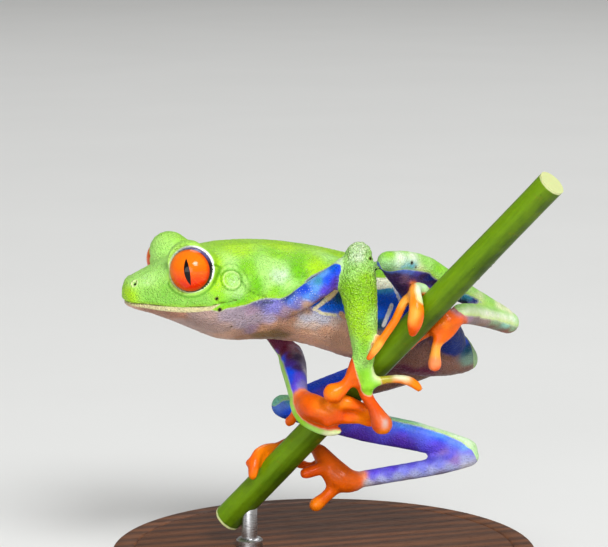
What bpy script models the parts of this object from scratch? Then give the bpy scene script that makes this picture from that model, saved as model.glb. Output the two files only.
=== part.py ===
# Red-eyed tree frog on a cut stem, held by a round display stand: a still, life-size model.
#
# Lengths are in millimetres and become metres where a mesh is made. The frog looks along -X,
# its left side faces -Y and +Z is up. Body points are measured from a datum in the middle of
# the body, for an adult of 60 mm from snout to vent, and DATUM says where that datum lies over
# the middle of the base's underside.

from math import cos, pi, radians, sin

import bmesh
import bpy
from mathutils import Matrix, Vector

MM = 0.001

# ---- driving dimensions ----------------------------------------------------------------

GAP = 0.3                               # clearance between neighbouring solids
DATUM = Vector((-4.0, -2.0, 49.0))      # body datum over the middle of the base's underside

BASE_RADIUS = 34.0
BASE_THICKNESS = 4.0
BASE_BEVEL = 0.6
ROD_RADIUS = 1.25
ROD_SOCKET = 2.5                        # depth of the rod's socket in the base
ROD_STATION = 3.5                       # where along the stem the rod enters it

STEM_START = Vector((-8.6, 8.6, -39.3))
STEM_DIRECTION = Vector((0.447, -0.544, 0.710)).normalized()
STEM_FROM, STEM_TO = -2.5, 80.0         # cut ends, measured along the stem
STEM_RADIUS_LOW, STEM_RADIUS_HIGH = 2.38, 2.16

EYE_RADIUS = 3.45
EYE_CENTRES = {"left": Vector((-20.0, -6.3, 2.5)), "right": Vector((-20.3, 6.3, 2.45))}
EYE_AXES = {"left": Vector((-0.54, -0.83, 0.15)), "right": Vector((-0.54, 0.83, 0.15))}
LID_RADIUS = 3.9                        # the cup of skin round each eye
LID_INSET = 1.5                         # how far the cup's centre sits behind the eye's
BROW_RADIUS = 3.3                       # the brow bump above each eye
BROW_CENTRES = {"left": Vector((-20.3, -5.0, 3.7)), "right": Vector((-20.5, 5.0, 3.7))}

NECK = -11.3                            # plane where the head is parted from the trunk

# Cross-sections of head and trunk: x, top, bottom, height of the widest level, half width.
TORSO_SECTIONS = [
    (-29.0, 0.0, -3.1, -2.1, 1.9),
    (-28.3, 0.75, -3.8, -2.5, 3.2),
    (-26.6, 1.65, -4.4, -2.9, 4.4),
    (-25.0, 2.3, -4.9, -3.1, 5.7),
    (-22.0, 3.8, -6.1, -3.3, 7.3),
    (-18.5, 5.0, -7.7, -3.4, 8.7),
    (-15.0, 5.6, -9.25, -3.4, 9.5),
    (-11.3, 5.8, -9.8, -3.2, 9.2),
    (-6.0, 5.6, -9.95, -3.0, 8.8),
    (0.0, 4.7, -11.15, -3.5, 9.1),
    (6.0, 3.3, -13.4, -4.8, 8.9),
    (11.5, 1.3, -15.2, -6.4, 7.9),
    (16.0, -1.9, -16.8, -8.7, 6.7),
    (20.0, -4.9, -17.6, -10.7, 6.0),
    (24.0, -8.2, -17.7, -12.6, 5.2),
    (27.0, -11.4, -17.3, -14.3, 3.9),
    (28.7, -13.9, -16.6, -15.2, 2.0),
]
SNOUT_BULGE = 0.5                       # how far the closed ends stand past the end sections
TORSO_SIDES = 24
UPPER_SQUARENESS = 2.35                 # superellipse exponents of a section's halves
LOWER_SQUARENESS = 2.05

# Limb segments: stations of centre (x, y, z) and half thickness. FLATTEN gives the share of
# that thickness which is left along the given direction, where a segment isn't round.
SEGMENTS = {
    "upper_arm_left": [
        ((-8.6, -5.0, -4.6), 2.1), ((-6.0, -8.0, -3.6), 1.95), ((-3.4, -10.4, -1.9), 1.85),
        ((-0.6, -12.3, 0.4), 1.75), ((2.4, -13.7, 3.0), 1.75)],
    "forearm_left": [
        ((4.2, -14.1, 4.7), 2.2), ((3.75, -14.4, 1.7), 3.05), ((4.2, -14.7, -2.1), 2.75),
        ((4.6, -14.9, -6.0), 2.4), ((4.8, -14.9, -9.1), 1.95), ((4.8, -14.9, -11.4), 1.7)],
    "upper_arm_right": [
        ((-8.2, 5.0, -4.2), 2.1), ((-6.0, 7.6, -6.6), 1.95), ((-2.3, 9.0, -10.8), 1.55),
        ((0.3, 8.9, -14.2), 1.85)],
    "forearm_right": [
        ((0.5, 8.6, -14.4), 2.05), ((-0.35, 4.4, -15.5), 2.15), ((-1.25, 0.2, -17.2), 1.8),
        ((-2.0, -3.2, -18.6), 1.6)],
    "thigh_left": [
        ((23.0, -3.2, -11.6), 3.0), ((18.6, -8.4, -5.8), 2.8), ((12.6, -12.9, 0.0), 2.2),
        ((9.0, -15.7, 2.9), 1.7)],
    "shank_left": [
        ((7.6, -17.2, 4.1), 1.6), ((11.3, -15.3, 3.5), 1.8), ((15.8, -13.1, 2.1), 1.75),
        ((20.6, -10.9, -1.4), 1.9), ((24.8, -9.0, -3.6), 1.55), ((31.8, -5.6, -7.5), 1.35)],
    "tarsus_left": [
        ((32.5, -5.2, -8.7), 1.85), ((28.0, -8.9, -7.2), 1.65), ((23.0, -13.1, -5.5), 1.7),
        ((20.2, -15.6, -5.0), 1.65)],
    "thigh_right": [
        ((25.0, 2.6, -14.2), 3.0), ((19.3, 4.4, -16.6), 3.0), ((11.1, 5.9, -19.0), 2.7),
        ((3.4, 7.4, -21.2), 2.0)],
    "shank_right": [
        ((-0.9, 7.9, -22.7), 2.0), ((4.6, 6.0, -24.3), 2.2), ((11.6, 3.8, -26.1), 2.45),
        ((19.3, 1.5, -27.7), 2.4), ((27.2, -0.9, -30.0), 1.95)],
    "tarsus_right": [
        ((27.4, -1.5, -30.9), 1.75), ((22.7, -1.0, -32.2), 1.5), ((16.2, 0.1, -33.2), 1.4),
        ((10.4, 1.1, -34.0), 1.4)],
}
FLATTEN = {
    "forearm_left": (Vector((-0.30, -0.94, 0.16)), 0.84),
    "shank_left": (Vector((-0.30, -0.94, 0.16)), 0.9),
    "shank_right": (Vector((-0.30, -0.94, 0.16)), 0.8),
}
SEGMENT_SIDES = 12
SPAN_STEPS = 2                          # rings between two stations
CAP_ANGLES = (35.0, 68.0)               # latitudes of the rings on a rounded end

# Which solids a segment gives way to, with clearance.
GIVES_WAY = {
    "upper_arm_left": ["trunk", "forearm_left"],
    "upper_arm_right": ["trunk", "forearm_right"],
    "thigh_left": ["trunk", "shank_left"],
    "thigh_right": ["trunk", "shank_right"],
    "tarsus_left": ["shank_left"],
    "tarsus_right": ["shank_right"],
    "hand_left": ["forearm_left"],
    "hand_right": ["forearm_right"],
    "foot_left": ["tarsus_left"],
    "foot_right": ["tarsus_right"],
}

# Hands and feet: each is a palm or sole and its digits. A digit's stations are centre and half
# thickness; its last one is the adhesive disc. Stations that would enter the stem are moved out
# to its surface, so that the digits wrap round it.
HANDS = {
    "hand_left": {
        "palm": [((4.8, -14.8, -10.8), 1.5), ((5.0, -14.8, -12.8), 1.45), ((5.6, -15.0, -15.2), 1.25)],
        "first": [((4.4, -14.2, -11.8), 0.7), ((5.0, -11.6, -9.2), 0.6), ((7.6, -9.9, -8.6), 0.6),
                  ((9.9, -10.4, -10.2), 0.85)],
        "second": [((3.5, -14.6, -11.4), 0.85), ((3.2, -14.3, -13.3), 1.0), ((2.2, -14.0, -15.3), 0.95),
                   ((0.5, -13.4, -16.6), 1.8)],
        "third": [((4.4, -14.2, -13.2), 1.0), ((5.2, -14.3, -16.6), 1.05), ((6.6, -14.5, -19.1), 1.05),
                  ((7.8, -14.8, -21.6), 1.82)],
        "fourth": [((5.8, -15.1, -15.0), 0.9), ((8.0, -15.5, -14.6), 0.74), ((9.9, -15.8, -14.5), 0.76),
                   ((11.9, -16.2, -14.9), 0.84), ((13.2, -16.6, -16.0), 0.72)],
    },
    "hand_right": {
        "palm": [((-1.9, -3.8, -18.9), 1.6), ((-1.5, -6.0, -19.6), 2.0), ((-0.3, -8.4, -20.0), 2.25),
                 ((1.6, -9.9, -20.6), 1.85)],
        "first": [((-1.4, -2.6, -20.2), 0.8), ((-2.0, -1.0, -22.4), 0.75), ((-2.0, -0.4, -24.0), 0.95)],
        "second": [((1.6, -10.0, -21.3), 1.05), ((3.8, -10.4, -21.3), 1.05), ((5.7, -10.5, -21.5), 0.95),
                   ((7.4, -10.5, -21.9), 1.2)],
        "third": [((1.0, -9.9, -19.4), 1.3), ((2.7, -11.3, -18.6), 1.35), ((4.9, -11.9, -19.2), 0.95),
                  ((6.8, -11.6, -20.4), 1.15)],
        "fourth": [((-3.0, -4.3, -19.6), 0.95), ((-2.6, -6.3, -21.6), 0.95), ((-0.9, -7.8, -22.9), 0.9),
                   ((1.1, -8.5, -23.6), 0.9), ((2.6, -9.0, -23.5), 0.8)],
    },
    "foot_left": {
        "palm": [((20.0, -15.8, -5.2), 1.5), ((17.8, -16.4, -5.9), 1.5), ((16.2, -16.1, -6.9), 1.2)],
        "first": [((17.4, -15.6, -6.0), 0.75), ((15.4, -13.9, -6.6), 0.6), ((13.4, -13.3, -7.2), 0.85)],
        "second": [((17.0, -15.5, -6.8), 0.8), ((14.4, -13.9, -8.6), 0.62), ((11.9, -13.0, -10.0), 0.85)],
        "third": [((17.2, -16.0, -5.0), 0.85), ((14.4, -15.9, -3.0), 0.8), ((11.8, -17.0, -1.9), 0.8),
                  ((10.1, -18.4, -2.0), 0.8), ((8.8, -18.2, -4.7), 0.75), ((7.1, -17.7, -7.4), 0.72),
                  ((5.7, -17.9, -9.2), 0.75), ((4.5, -18.0, -10.6), 0.6)],
        "fourth": [((17.6, -16.4, -4.8), 0.95), ((15.0, -16.0, -1.9), 1.0), ((12.8, -17.6, -0.7), 1.1),
                   ((11.7, -20.0, -1.1), 1.05), ((11.1, -21.3, -2.8), 1.25), ((10.7, -21.4, -4.8), 1.3),
                   ((10.6, -20.7, -6.6), 0.75)],
        "fifth": [((16.8, -16.4, -7.0), 0.95), ((15.9, -16.6, -9.9), 0.8), ((15.6, -17.0, -12.4), 1.2)],
        "web": [((19.2, -16.1, -6.2), 1.1), ((18.2, -16.5, -7.6), 0.95), ((16.6, -16.7, -8.6), 0.9)],
    },
    "foot_right": {
        "palm": [((10.2, 1.1, -34.0), 1.4), ((8.4, 1.4, -34.3), 1.95), ((6.7, 2.1, -33.7), 2.35),
                 ((5.3, 3.2, -31.9), 1.95), ((4.1, 4.3, -29.9), 1.4)],
        "first": [((5.6, 3.8, -32.2), 0.8), ((3.4, 5.4, -32.4), 0.65), ((0.9, 6.0, -31.9), 0.85)],
        "second": [((4.8, 2.5, -31.9), 1.3), ((2.6, 2.0, -32.2), 1.05), ((0.9, 2.1, -32.65), 1.02)],
        "third": [((5.7, 2.0, -35.5), 1.1), ((4.3, 2.2, -36.8), 1.0), ((2.8, 2.4, -38.0), 1.25)],
        "fourth": [((3.9, 4.7, -29.6), 1.0), ((1.8, 6.0, -28.2), 0.9), ((-0.6, 5.7, -28.1), 0.8),
                   ((-3.1, 4.5, -29.3), 0.85), ((-5.6, 3.8, -30.3), 0.9), ((-8.0, 3.8, -30.7), 0.72)],
        "fifth": [((1.6, 6.2, -28.4), 0.8), ((-1.0, 5.8, -28.1), 0.75), ((-3.8, 4.3, -29.6), 0.95),
                  ((-5.5, 3.1, -31.2), 1.0), ((-6.7, 2.9, -32.7), 0.85)],
    },
}
DIGIT_SIDES = 10
DIGIT_STEPS = 3
HAND_VOXEL = 0.3                        # cell size at which palm and digits are fused
HAND_DETAIL = 0.072                      # share of the fused faces that is kept

# ---- finishes: colour, roughness, metallic ---------------------------------------------

FINISHES = {
    "skin_green": ((0.30, 0.56, 0.03), 0.42, 0.0),
    "skin_blue": ((0.07, 0.10, 0.55), 0.40, 0.0),
    "skin_orange": ((0.95, 0.22, 0.01), 0.35, 0.0),
    "eye_red": ((0.95, 0.12, 0.01), 0.08, 0.0),
    "stem_green": ((0.17, 0.27, 0.01), 0.5, 0.0),
    "base_wood": ((0.10, 0.05, 0.025), 0.45, 0.0),
    "rod_steel": ((0.55, 0.55, 0.56), 0.3, 1.0),
}


def clear_scene():
    for thing in list(bpy.data.objects):
        bpy.data.objects.remove(thing, do_unlink=True)


def new_collection(name):
    group = bpy.data.collections.new(name)
    bpy.context.scene.collection.children.link(group)
    return group


def make_finish(name):
    colour, roughness, metallic = FINISHES[name]
    finish = bpy.data.materials.new(name)
    finish.use_nodes = True
    shader = finish.node_tree.nodes["Principled BSDF"]
    shader.inputs["Base Color"].default_value = (*colour, 1.0)
    shader.inputs["Roughness"].default_value = roughness
    shader.inputs["Metallic"].default_value = metallic
    finish.diffuse_color = (*colour, 1.0)
    return finish


def place(point):
    """A body point in millimetres as a position in the model's frame, in metres."""
    return (Vector(point) + DATUM) * MM


def add_object(name, shape, group, finish=None):
    """Turns a bmesh into a named object with outward faces."""
    bmesh.ops.recalc_face_normals(shape, faces=shape.faces)
    mesh = bpy.data.meshes.new(name)
    shape.to_mesh(mesh)
    shape.free()
    mesh.shade_smooth()
    mesh.set_sharp_from_angle(angle=radians(40))
    thing = bpy.data.objects.new(name, mesh)
    group.objects.link(thing)
    if finish:
        mesh.materials.append(finish)
    return thing


def add_cutter(name, shape, group):
    thing = add_object(name, shape, group)
    thing.hide_render = True
    thing.display_type = "WIRE"
    return thing


def subtract(thing, cutter):
    cut = thing.modifiers.new("less " + cutter.name, "BOOLEAN")
    cut.operation = "DIFFERENCE"
    cut.solver = "EXACT"
    cut.object = cutter


def unite(thing, other):
    join = thing.modifiers.new("with " + other.name, "BOOLEAN")
    join.operation = "UNION"
    join.solver = "EXACT"
    join.object = other


# ---- shapes ----------------------------------------------------------------------------

def curve_through(values, where):
    """A Catmull-Rom value at a fractional index, for numbers or vectors."""
    last = len(values) - 1
    index = min(int(where), last - 1)
    t = where - index
    a = values[max(index - 1, 0)]
    b = values[index]
    c = values[index + 1]
    d = values[min(index + 2, last)]
    return 0.5 * (2 * b + (c - a) * t + (2 * a - 5 * b + 4 * c - d) * t * t
                  + (3 * b - a - 3 * c + d) * t * t * t)


def skin_rings(shape, rings, first_pole=None, last_pole=None):
    """Joins rings of equal vertex count; each end is closed by a pole, or by a flat face."""
    loops = [[shape.verts.new(point) for point in ring] for ring in rings]
    count = len(loops[0])
    for one, two in zip(loops, loops[1:]):
        for i in range(count):
            j = (i + 1) % count
            shape.faces.new((one[i], one[j], two[j], two[i]))
    for loop, pole in ((loops[0], first_pole), (loops[-1], last_pole)):
        if pole is None:
            shape.faces.new(loop)
            continue
        tip = shape.verts.new(pole)
        for i in range(count):
            shape.faces.new((loop[i], loop[(i + 1) % count], tip))


def section_ring(section, grow=0.0):
    """A section of the torso: a flat-topped oval, wider at the level of the mouth and flank."""
    x, top, bottom, widest, half_width = section
    ring = []
    for i in range(TORSO_SIDES):
        angle = 2 * pi * i / TORSO_SIDES
        power = 2 / (UPPER_SQUARENESS if sin(angle) > 0 else LOWER_SQUARENESS)
        across = abs(cos(angle)) ** power * (1 if cos(angle) > 0 else -1)
        rise = abs(sin(angle)) ** power * (1 if sin(angle) > 0 else -1)
        height = (top - widest if sin(angle) > 0 else widest - bottom) + grow
        ring.append(place((x, (half_width + grow) * across, widest + height * rise)))
    return ring


def section_at(where):
    columns = list(zip(*TORSO_SECTIONS))
    return tuple(curve_through(column, where) for column in columns)


def torso_shape(first, last, front_closed, back_closed, grow=0.0):
    """The torso between two fractional section indices, with two rings a section."""
    steps = max(2, round((last - first) * 2))
    sections = [section_at(first + (last - first) * i / steps) for i in range(steps + 1)]
    shape = bmesh.new()
    poles = []
    for closed, section, side in ((front_closed, sections[0], -1), (back_closed, sections[-1], 1)):
        middle = (section[0] + side * (SNOUT_BULGE + grow), 0.0, (section[1] + section[2]) / 2)
        poles.append(place(middle) if closed else None)
    skin_rings(shape, [section_ring(section, grow) for section in sections], poles[0], poles[1])
    return shape


def neck_index(x):
    """The fractional section index at which the torso reaches x."""
    low, high = 0.0, float(len(TORSO_SECTIONS) - 1)
    for _ in range(40):
        middle = (low + high) / 2
        if section_at(middle)[0] < x:
            low = middle
        else:
            high = middle
    return low


def off_the_stem(point, radius):
    """Moves a point straight out from the stem's axis until a digit of that radius clears it."""
    along = (point - STEM_START).dot(STEM_DIRECTION)
    axis_point = STEM_START + STEM_DIRECTION * along
    needed = STEM_RADIUS_LOW + GAP + radius
    away = point - axis_point
    if away.length < needed:
        return axis_point + away.normalized() * needed
    return point


def tube(stations, sides, steps, flatten=None, grow=0.0, clear=False):
    """A closed tube with rounded ends through stations of centre and half thickness."""
    centres = [Vector(centre) for centre, _ in stations]
    radii = [radius for _, radius in stations]
    count = (len(stations) - 1) * steps
    path, sizes = [], []
    for i in range(count + 1):
        where = (len(stations) - 1) * i / count
        size = curve_through(radii, where)
        point = curve_through(centres, where)
        path.append(off_the_stem(point, size) if clear else point)
        sizes.append(size + grow)
    direction, share = flatten or (Vector((-0.30, -0.94, 0.16)), 1.0)

    def ring(centre, tangent, size):
        across = (direction - tangent * direction.dot(tangent)).normalized()
        over = tangent.cross(across)
        return [place(centre + (across * cos(a) * share + over * sin(a)) * size)
                for a in (2 * pi * k / sides for k in range(sides))]

    tangents = []
    for i in range(count + 1):
        tangents.append((path[min(i + 1, count)] - path[max(i - 1, 0)]).normalized())
    rings = [ring(path[0] - tangents[0] * sizes[0] * sin(radians(a)), tangents[0],
                  sizes[0] * cos(radians(a))) for a in reversed(CAP_ANGLES)]
    rings += [ring(p, t, r) for p, t, r in zip(path, tangents, sizes)]
    rings += [ring(path[-1] + tangents[-1] * sizes[-1] * sin(radians(a)), tangents[-1],
                   sizes[-1] * cos(radians(a))) for a in CAP_ANGLES]
    shape = bmesh.new()
    skin_rings(shape, rings, place(path[0] - tangents[0] * sizes[0]),
               place(path[-1] + tangents[-1] * sizes[-1]))
    return shape


def segment(name, grow=0.0):
    return tube(SEGMENTS[name], SEGMENT_SIDES, SPAN_STEPS, FLATTEN.get(name), grow)


def ball(centre, radius, segments, rings):
    shape = bmesh.new()
    bmesh.ops.create_uvsphere(shape, u_segments=segments, v_segments=rings, radius=radius * MM,
                              matrix=Matrix.Translation(place(centre)))
    return shape


def rod_between(start, end, radius_start, radius_end, sides):
    """A capped cone or cylinder between two body points."""
    axis = Vector(end) - Vector(start)
    turn = axis.to_track_quat("Z", "Y").to_matrix().to_4x4()
    centre = Matrix.Translation(place((Vector(start) + Vector(end)) / 2))
    shape = bmesh.new()
    bmesh.ops.create_cone(shape, cap_ends=True, segments=sides, radius1=radius_start * MM,
                          radius2=radius_end * MM, depth=axis.length * MM, matrix=centre @ turn)
    return shape


# ---- pieces ----------------------------------------------------------------------------

def build_trunk_and_head(parts, cutters, green):
    last = len(TORSO_SECTIONS) - 1
    add_object("trunk", torso_shape(neck_index(NECK + GAP / 2), last, False, True), parts, green)
    head = add_object("head", torso_shape(0, neck_index(NECK - GAP / 2), True, False),
                      parts, green)
    for side, centre in EYE_CENTRES.items():
        inward = EYE_AXES[side].normalized() * -LID_INSET
        cup = add_cutter("cup_" + side, ball(centre + inward, LID_RADIUS, 16, 10), cutters)
        unite(head, cup)
        brow = add_cutter("brow_" + side, ball(BROW_CENTRES[side], BROW_RADIUS, 14, 8), cutters)
        unite(head, brow)
    for side, centre in EYE_CENTRES.items():
        socket = add_cutter("socket_" + side, ball(centre, EYE_RADIUS + GAP, 14, 8), cutters)
        subtract(head, socket)


def build_eyes(parts, red):
    for side, centre in EYE_CENTRES.items():
        add_object("eye_" + side, ball(centre, EYE_RADIUS, 16, 10), parts, red)


def build_limb_segments(parts, green, blue):
    for name in SEGMENTS:
        finish = green if name.startswith("forearm") else blue
        add_object(name, segment(name), parts, finish)


def fuse_digits(name, stations_by_digit, parts, orange):
    """Palm and digits as one closed skin."""
    whole = bmesh.new()
    for digit, stations in stations_by_digit.items():
        piece = tube(stations, DIGIT_SIDES, DIGIT_STEPS, clear=True)
        bmesh.ops.recalc_face_normals(piece, faces=piece.faces)
        mesh = bpy.data.meshes.new(name + "_" + digit)
        piece.to_mesh(mesh)
        piece.free()
        whole.from_mesh(mesh)
        bpy.data.meshes.remove(mesh)
    hand = add_object(name, whole, parts, orange)
    fuse = hand.modifiers.new("fuse", "REMESH")
    fuse.mode = "VOXEL"
    fuse.voxel_size = HAND_VOXEL * MM
    thin = hand.modifiers.new("thin", "DECIMATE")
    thin.ratio = HAND_DETAIL


def build_hands(parts, orange):
    for name, digits in HANDS.items():
        fuse_digits(name, digits, parts, orange)


def give_way(parts, cutters):
    """Cuts each solid back from the neighbours it meets."""
    grown = {}
    for name, others in GIVES_WAY.items():
        for other in others:
            if other not in grown:
                if other == "trunk":
                    last = len(TORSO_SECTIONS) - 1
                    shape = torso_shape(neck_index(NECK - GAP), last, False, True, GAP)
                else:
                    shape = segment(other, GAP)
                grown[other] = add_cutter("clearance_" + other, shape, cutters)
            subtract(parts.objects[name], grown[other])


def build_stem_and_stand(parts, cutters, green, wood, steel):
    start = STEM_START + STEM_DIRECTION * STEM_FROM
    end = STEM_START + STEM_DIRECTION * STEM_TO
    stem = add_object("perch_stem", rod_between(start, end, STEM_RADIUS_LOW, STEM_RADIUS_HIGH, 24),
                      parts, green)
    peg_top = STEM_START + STEM_DIRECTION * ROD_STATION
    base_top = BASE_THICKNESS - DATUM.z
    foot = Vector((peg_top.x, peg_top.y, base_top - ROD_SOCKET))
    add_object("stand_rod", rod_between(foot, peg_top, ROD_RADIUS, ROD_RADIUS, 20), parts, steel)

    centre = -DATUM
    under = Vector((centre.x, centre.y, -DATUM.z))
    over = under + Vector((0.0, 0.0, BASE_THICKNESS))
    base = add_object("stand_base", rod_between(under, over, BASE_RADIUS, BASE_RADIUS, 48),
                      parts, wood)
    edge = base.modifiers.new("edge", "BEVEL")
    edge.width = BASE_BEVEL * MM
    edge.segments = 1
    edge.limit_method = "ANGLE"
    rise = Vector((0.0, 0.0, GAP))
    hole = add_cutter("rod_hole", rod_between(foot - rise, peg_top + rise, ROD_RADIUS + GAP,
                                              ROD_RADIUS + GAP, 20), cutters)
    subtract(stem, hole)
    subtract(base, hole)


def build():
    clear_scene()
    parts = new_collection("red_eyed_tree_frog")
    cutters = new_collection("cutters")
    finishes = {name: make_finish(name) for name in FINISHES}
    build_trunk_and_head(parts, cutters, finishes["skin_green"])
    build_eyes(parts, finishes["eye_red"])
    build_limb_segments(parts, finishes["skin_green"], finishes["skin_blue"])
    build_hands(parts, finishes["skin_orange"])
    give_way(parts, cutters)
    build_stem_and_stand(parts, cutters, finishes["stem_green"], finishes["base_wood"],
                         finishes["rod_steel"])


build()
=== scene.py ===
# Red-eyed tree frog gripping a cut stem, shown on a plain stand.
import math

import bmesh
import bpy
import numpy as np
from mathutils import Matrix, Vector, noise
from mathutils.bvhtree import BVHTree


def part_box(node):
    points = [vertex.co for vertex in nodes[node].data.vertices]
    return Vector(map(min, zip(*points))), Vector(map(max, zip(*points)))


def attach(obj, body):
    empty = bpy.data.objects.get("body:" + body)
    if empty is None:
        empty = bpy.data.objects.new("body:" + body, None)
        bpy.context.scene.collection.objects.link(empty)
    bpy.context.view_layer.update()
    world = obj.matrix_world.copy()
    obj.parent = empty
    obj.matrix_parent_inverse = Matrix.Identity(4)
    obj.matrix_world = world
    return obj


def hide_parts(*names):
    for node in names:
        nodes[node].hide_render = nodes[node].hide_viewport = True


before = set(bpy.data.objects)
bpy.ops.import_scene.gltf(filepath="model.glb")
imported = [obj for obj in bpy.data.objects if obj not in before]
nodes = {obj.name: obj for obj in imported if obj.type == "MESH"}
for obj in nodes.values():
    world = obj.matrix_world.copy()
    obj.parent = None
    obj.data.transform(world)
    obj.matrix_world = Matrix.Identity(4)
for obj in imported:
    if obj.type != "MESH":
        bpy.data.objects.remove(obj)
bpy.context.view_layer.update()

scene = bpy.context.scene
mm = 0.001
middle = np.array((-4.0, -2.0, 49.0))  # the frog's middle above the base, in mm: the bench origin


def toBench(points):
    return np.asarray(points, float) / mm - middle


def toFrame(points):
    return (np.asarray(points, float) + middle) * mm


def readPoints(mesh):
    flat = np.empty(len(mesh.vertices) * 3)
    mesh.vertices.foreach_get("co", flat)
    return flat.reshape(-1, 3)


def writePoints(mesh, points):
    mesh.vertices.foreach_set("co", np.asarray(points, float).ravel())
    mesh.update()


def readNormals(mesh):
    flat = np.empty(len(mesh.vertices) * 3)
    mesh.vertex_normals.foreach_get("vector", flat)
    return flat.reshape(-1, 3)


def readEdges(mesh):
    flat = np.empty(len(mesh.edges) * 2, int)
    mesh.edges.foreach_get("vertices", flat)
    return flat.reshape(-1, 2)


def unit(vector):
    vector = np.asarray(vector, float)
    return vector / np.linalg.norm(vector)


def smoothStep(low, high, value):
    t = np.clip((value - low) / (high - low), 0, 1)
    return t * t * (3 - 2 * t)


def bell(distance, width):
    return np.exp(-((distance / width) ** 2))


def colour(red, green, blue):  # screen colour, 0 to 255, as the linear colour that the shaders use
    return tuple(((c / 255 + 0.055) / 1.055) ** 2.4 if c > 10 else c / 255 / 12.92
                 for c in (red, green, blue)) + (1.0,)


# ---------- studio
studio = {
    "azimuth": -18.0, "elevation": 9.0, "distance": 0.45, "target": (-0.004, -0.002, 0.049),
    "lens": 169.7, "sensor": 36.0, "clip": (0.01, 50.0),  # lens and sensor in mm, clip in metres
    "lightDistance": 1.7, "skyStrength": 0.27, "skyColour": (1.0, 0.98, 0.96, 1.0),
    "lights": {
        "key": {"azimuth": 4.0, "elevation": 40.0, "size": 0.7, "watts": 26.0},
        "fill": {"azimuth": -34.0, "elevation": 4.0, "size": 1.3, "watts": 15.0},
        "rim": {"azimuth": 150.0, "elevation": 52.0, "size": 0.9, "watts": 7.0},
    },
}


def around(azimuth, elevation, distance):
    a, e = math.radians(azimuth), math.radians(elevation)
    away = Vector((math.sin(a) * math.cos(e), -math.cos(a) * math.cos(e), math.sin(e)))
    return Vector(studio["target"]) + away * distance


def aim(thing):
    thing.rotation_euler = (Vector(studio["target"]) - thing.location).to_track_quat("-Z", "Y").to_euler()


def addLight(name, azimuth, elevation, size, watts):
    lamp = bpy.data.lights.new(name + "Light", "AREA")
    lamp.shape, lamp.size, lamp.energy = "DISK", size, watts
    holder = bpy.data.objects.new(name + "Light", lamp)
    scene.collection.objects.link(holder)
    holder.location = around(azimuth, elevation, studio["lightDistance"])
    aim(holder)


cameraData = bpy.data.cameras.new("camera")
cameraData.lens, cameraData.sensor_width = studio["lens"], studio["sensor"]
cameraData.clip_start, cameraData.clip_end = studio["clip"]
camera = bpy.data.objects.new("camera", cameraData)
scene.collection.objects.link(camera)
camera.location = around(studio["azimuth"], studio["elevation"], studio["distance"])
aim(camera)
scene.camera = camera
for name, settings in studio["lights"].items():
    addLight(name, **settings)
scene.world = bpy.data.worlds.new("studioAir")
scene.world.use_nodes = True
sky = scene.world.node_tree.nodes["Background"]
sky.inputs["Color"].default_value = studio["skyColour"]
sky.inputs["Strength"].default_value = studio["skyStrength"]
scene.view_settings.view_transform = "Standard"
print("studio ready")


# ---------- node helpers
def feed(tree, socket, value):
    if isinstance(value, bpy.types.NodeSocket):
        tree.links.new(value, socket)
    else:
        socket.default_value = value


def maths(tree, operation, *values):
    node = tree.nodes.new("ShaderNodeMath")
    node.operation = operation
    for socket, value in zip(node.inputs, values):
        feed(tree, socket, value)
    return node.outputs[0]


def times(tree, first, second):
    return maths(tree, "MULTIPLY", first, second)


def plus(tree, first, second):
    return maths(tree, "ADD", first, second)


def minus(tree, first, second):
    return maths(tree, "SUBTRACT", first, second)


def wander(tree, value, noiseValue, amount):  # a border pushed a little either way
    return plus(tree, value, times(tree, minus(tree, noiseValue, 0.5), amount))


def fade(tree, value, low, high, start=0.0, end=1.0):
    node = tree.nodes.new("ShaderNodeMapRange")
    node.interpolation_type = "SMOOTHSTEP"
    for name, given in (("Value", value), ("From Min", low), ("From Max", high),
                        ("To Min", start), ("To Max", end)):
        feed(tree, node.inputs[name], given)
    return node.outputs["Result"]


def blendColours(tree, factor, below, above, how="MIX"):
    node = tree.nodes.new("ShaderNodeMix")
    node.data_type, node.blend_type = "RGBA", how
    for index, value in ((0, factor), (6, below), (7, above)):
        feed(tree, node.inputs[index], value)
    return node.outputs[2]


def field(tree, name, output="Fac"):  # a value or colour stored on the mesh
    node = tree.nodes.new("ShaderNodeAttribute")
    node.attribute_name = name
    return node.outputs[output]


def objectPlace(tree, scale=(1.0, 1.0, 1.0), turn=(0.0, 0.0, 0.0)):
    place = tree.nodes.new("ShaderNodeTexCoord")
    mapping = tree.nodes.new("ShaderNodeMapping")
    tree.links.new(place.outputs["Object"], mapping.inputs["Vector"])
    mapping.inputs["Scale"].default_value = scale
    mapping.inputs["Rotation"].default_value = turn
    return mapping.outputs["Vector"]


def cloud(tree, place, scale, detail=2.0, roughness=0.5):
    node = tree.nodes.new("ShaderNodeTexNoise")
    for name, value in (("Vector", place), ("Scale", scale), ("Detail", detail), ("Roughness", roughness)):
        feed(tree, node.inputs[name], value)
    return node.outputs["Fac"]


def cells(tree, place, scale):
    node = tree.nodes.new("ShaderNodeTexVoronoi")
    node.feature = "SMOOTH_F1"
    feed(tree, node.inputs["Vector"], place)
    feed(tree, node.inputs["Scale"], scale)
    node.inputs["Randomness"].default_value = 0.9
    node.inputs["Smoothness"].default_value = 0.35
    return node.outputs["Distance"]


def newMaterial(name, **fixed):
    material = bpy.data.materials.new(name)
    material.use_nodes = True
    shader = material.node_tree.nodes["Principled BSDF"]
    for socket, value in fixed.items():
        shader.inputs[socket.replace("_", " ")].default_value = value
    return material, material.node_tree, shader


def bump(tree, shader, height, distance):
    node = tree.nodes.new("ShaderNodeBump")
    node.inputs["Strength"].default_value = 1.0
    node.inputs["Distance"].default_value = distance
    tree.links.new(height, node.inputs["Height"])
    tree.links.new(node.outputs["Normal"], shader.inputs["Normal"])


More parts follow.
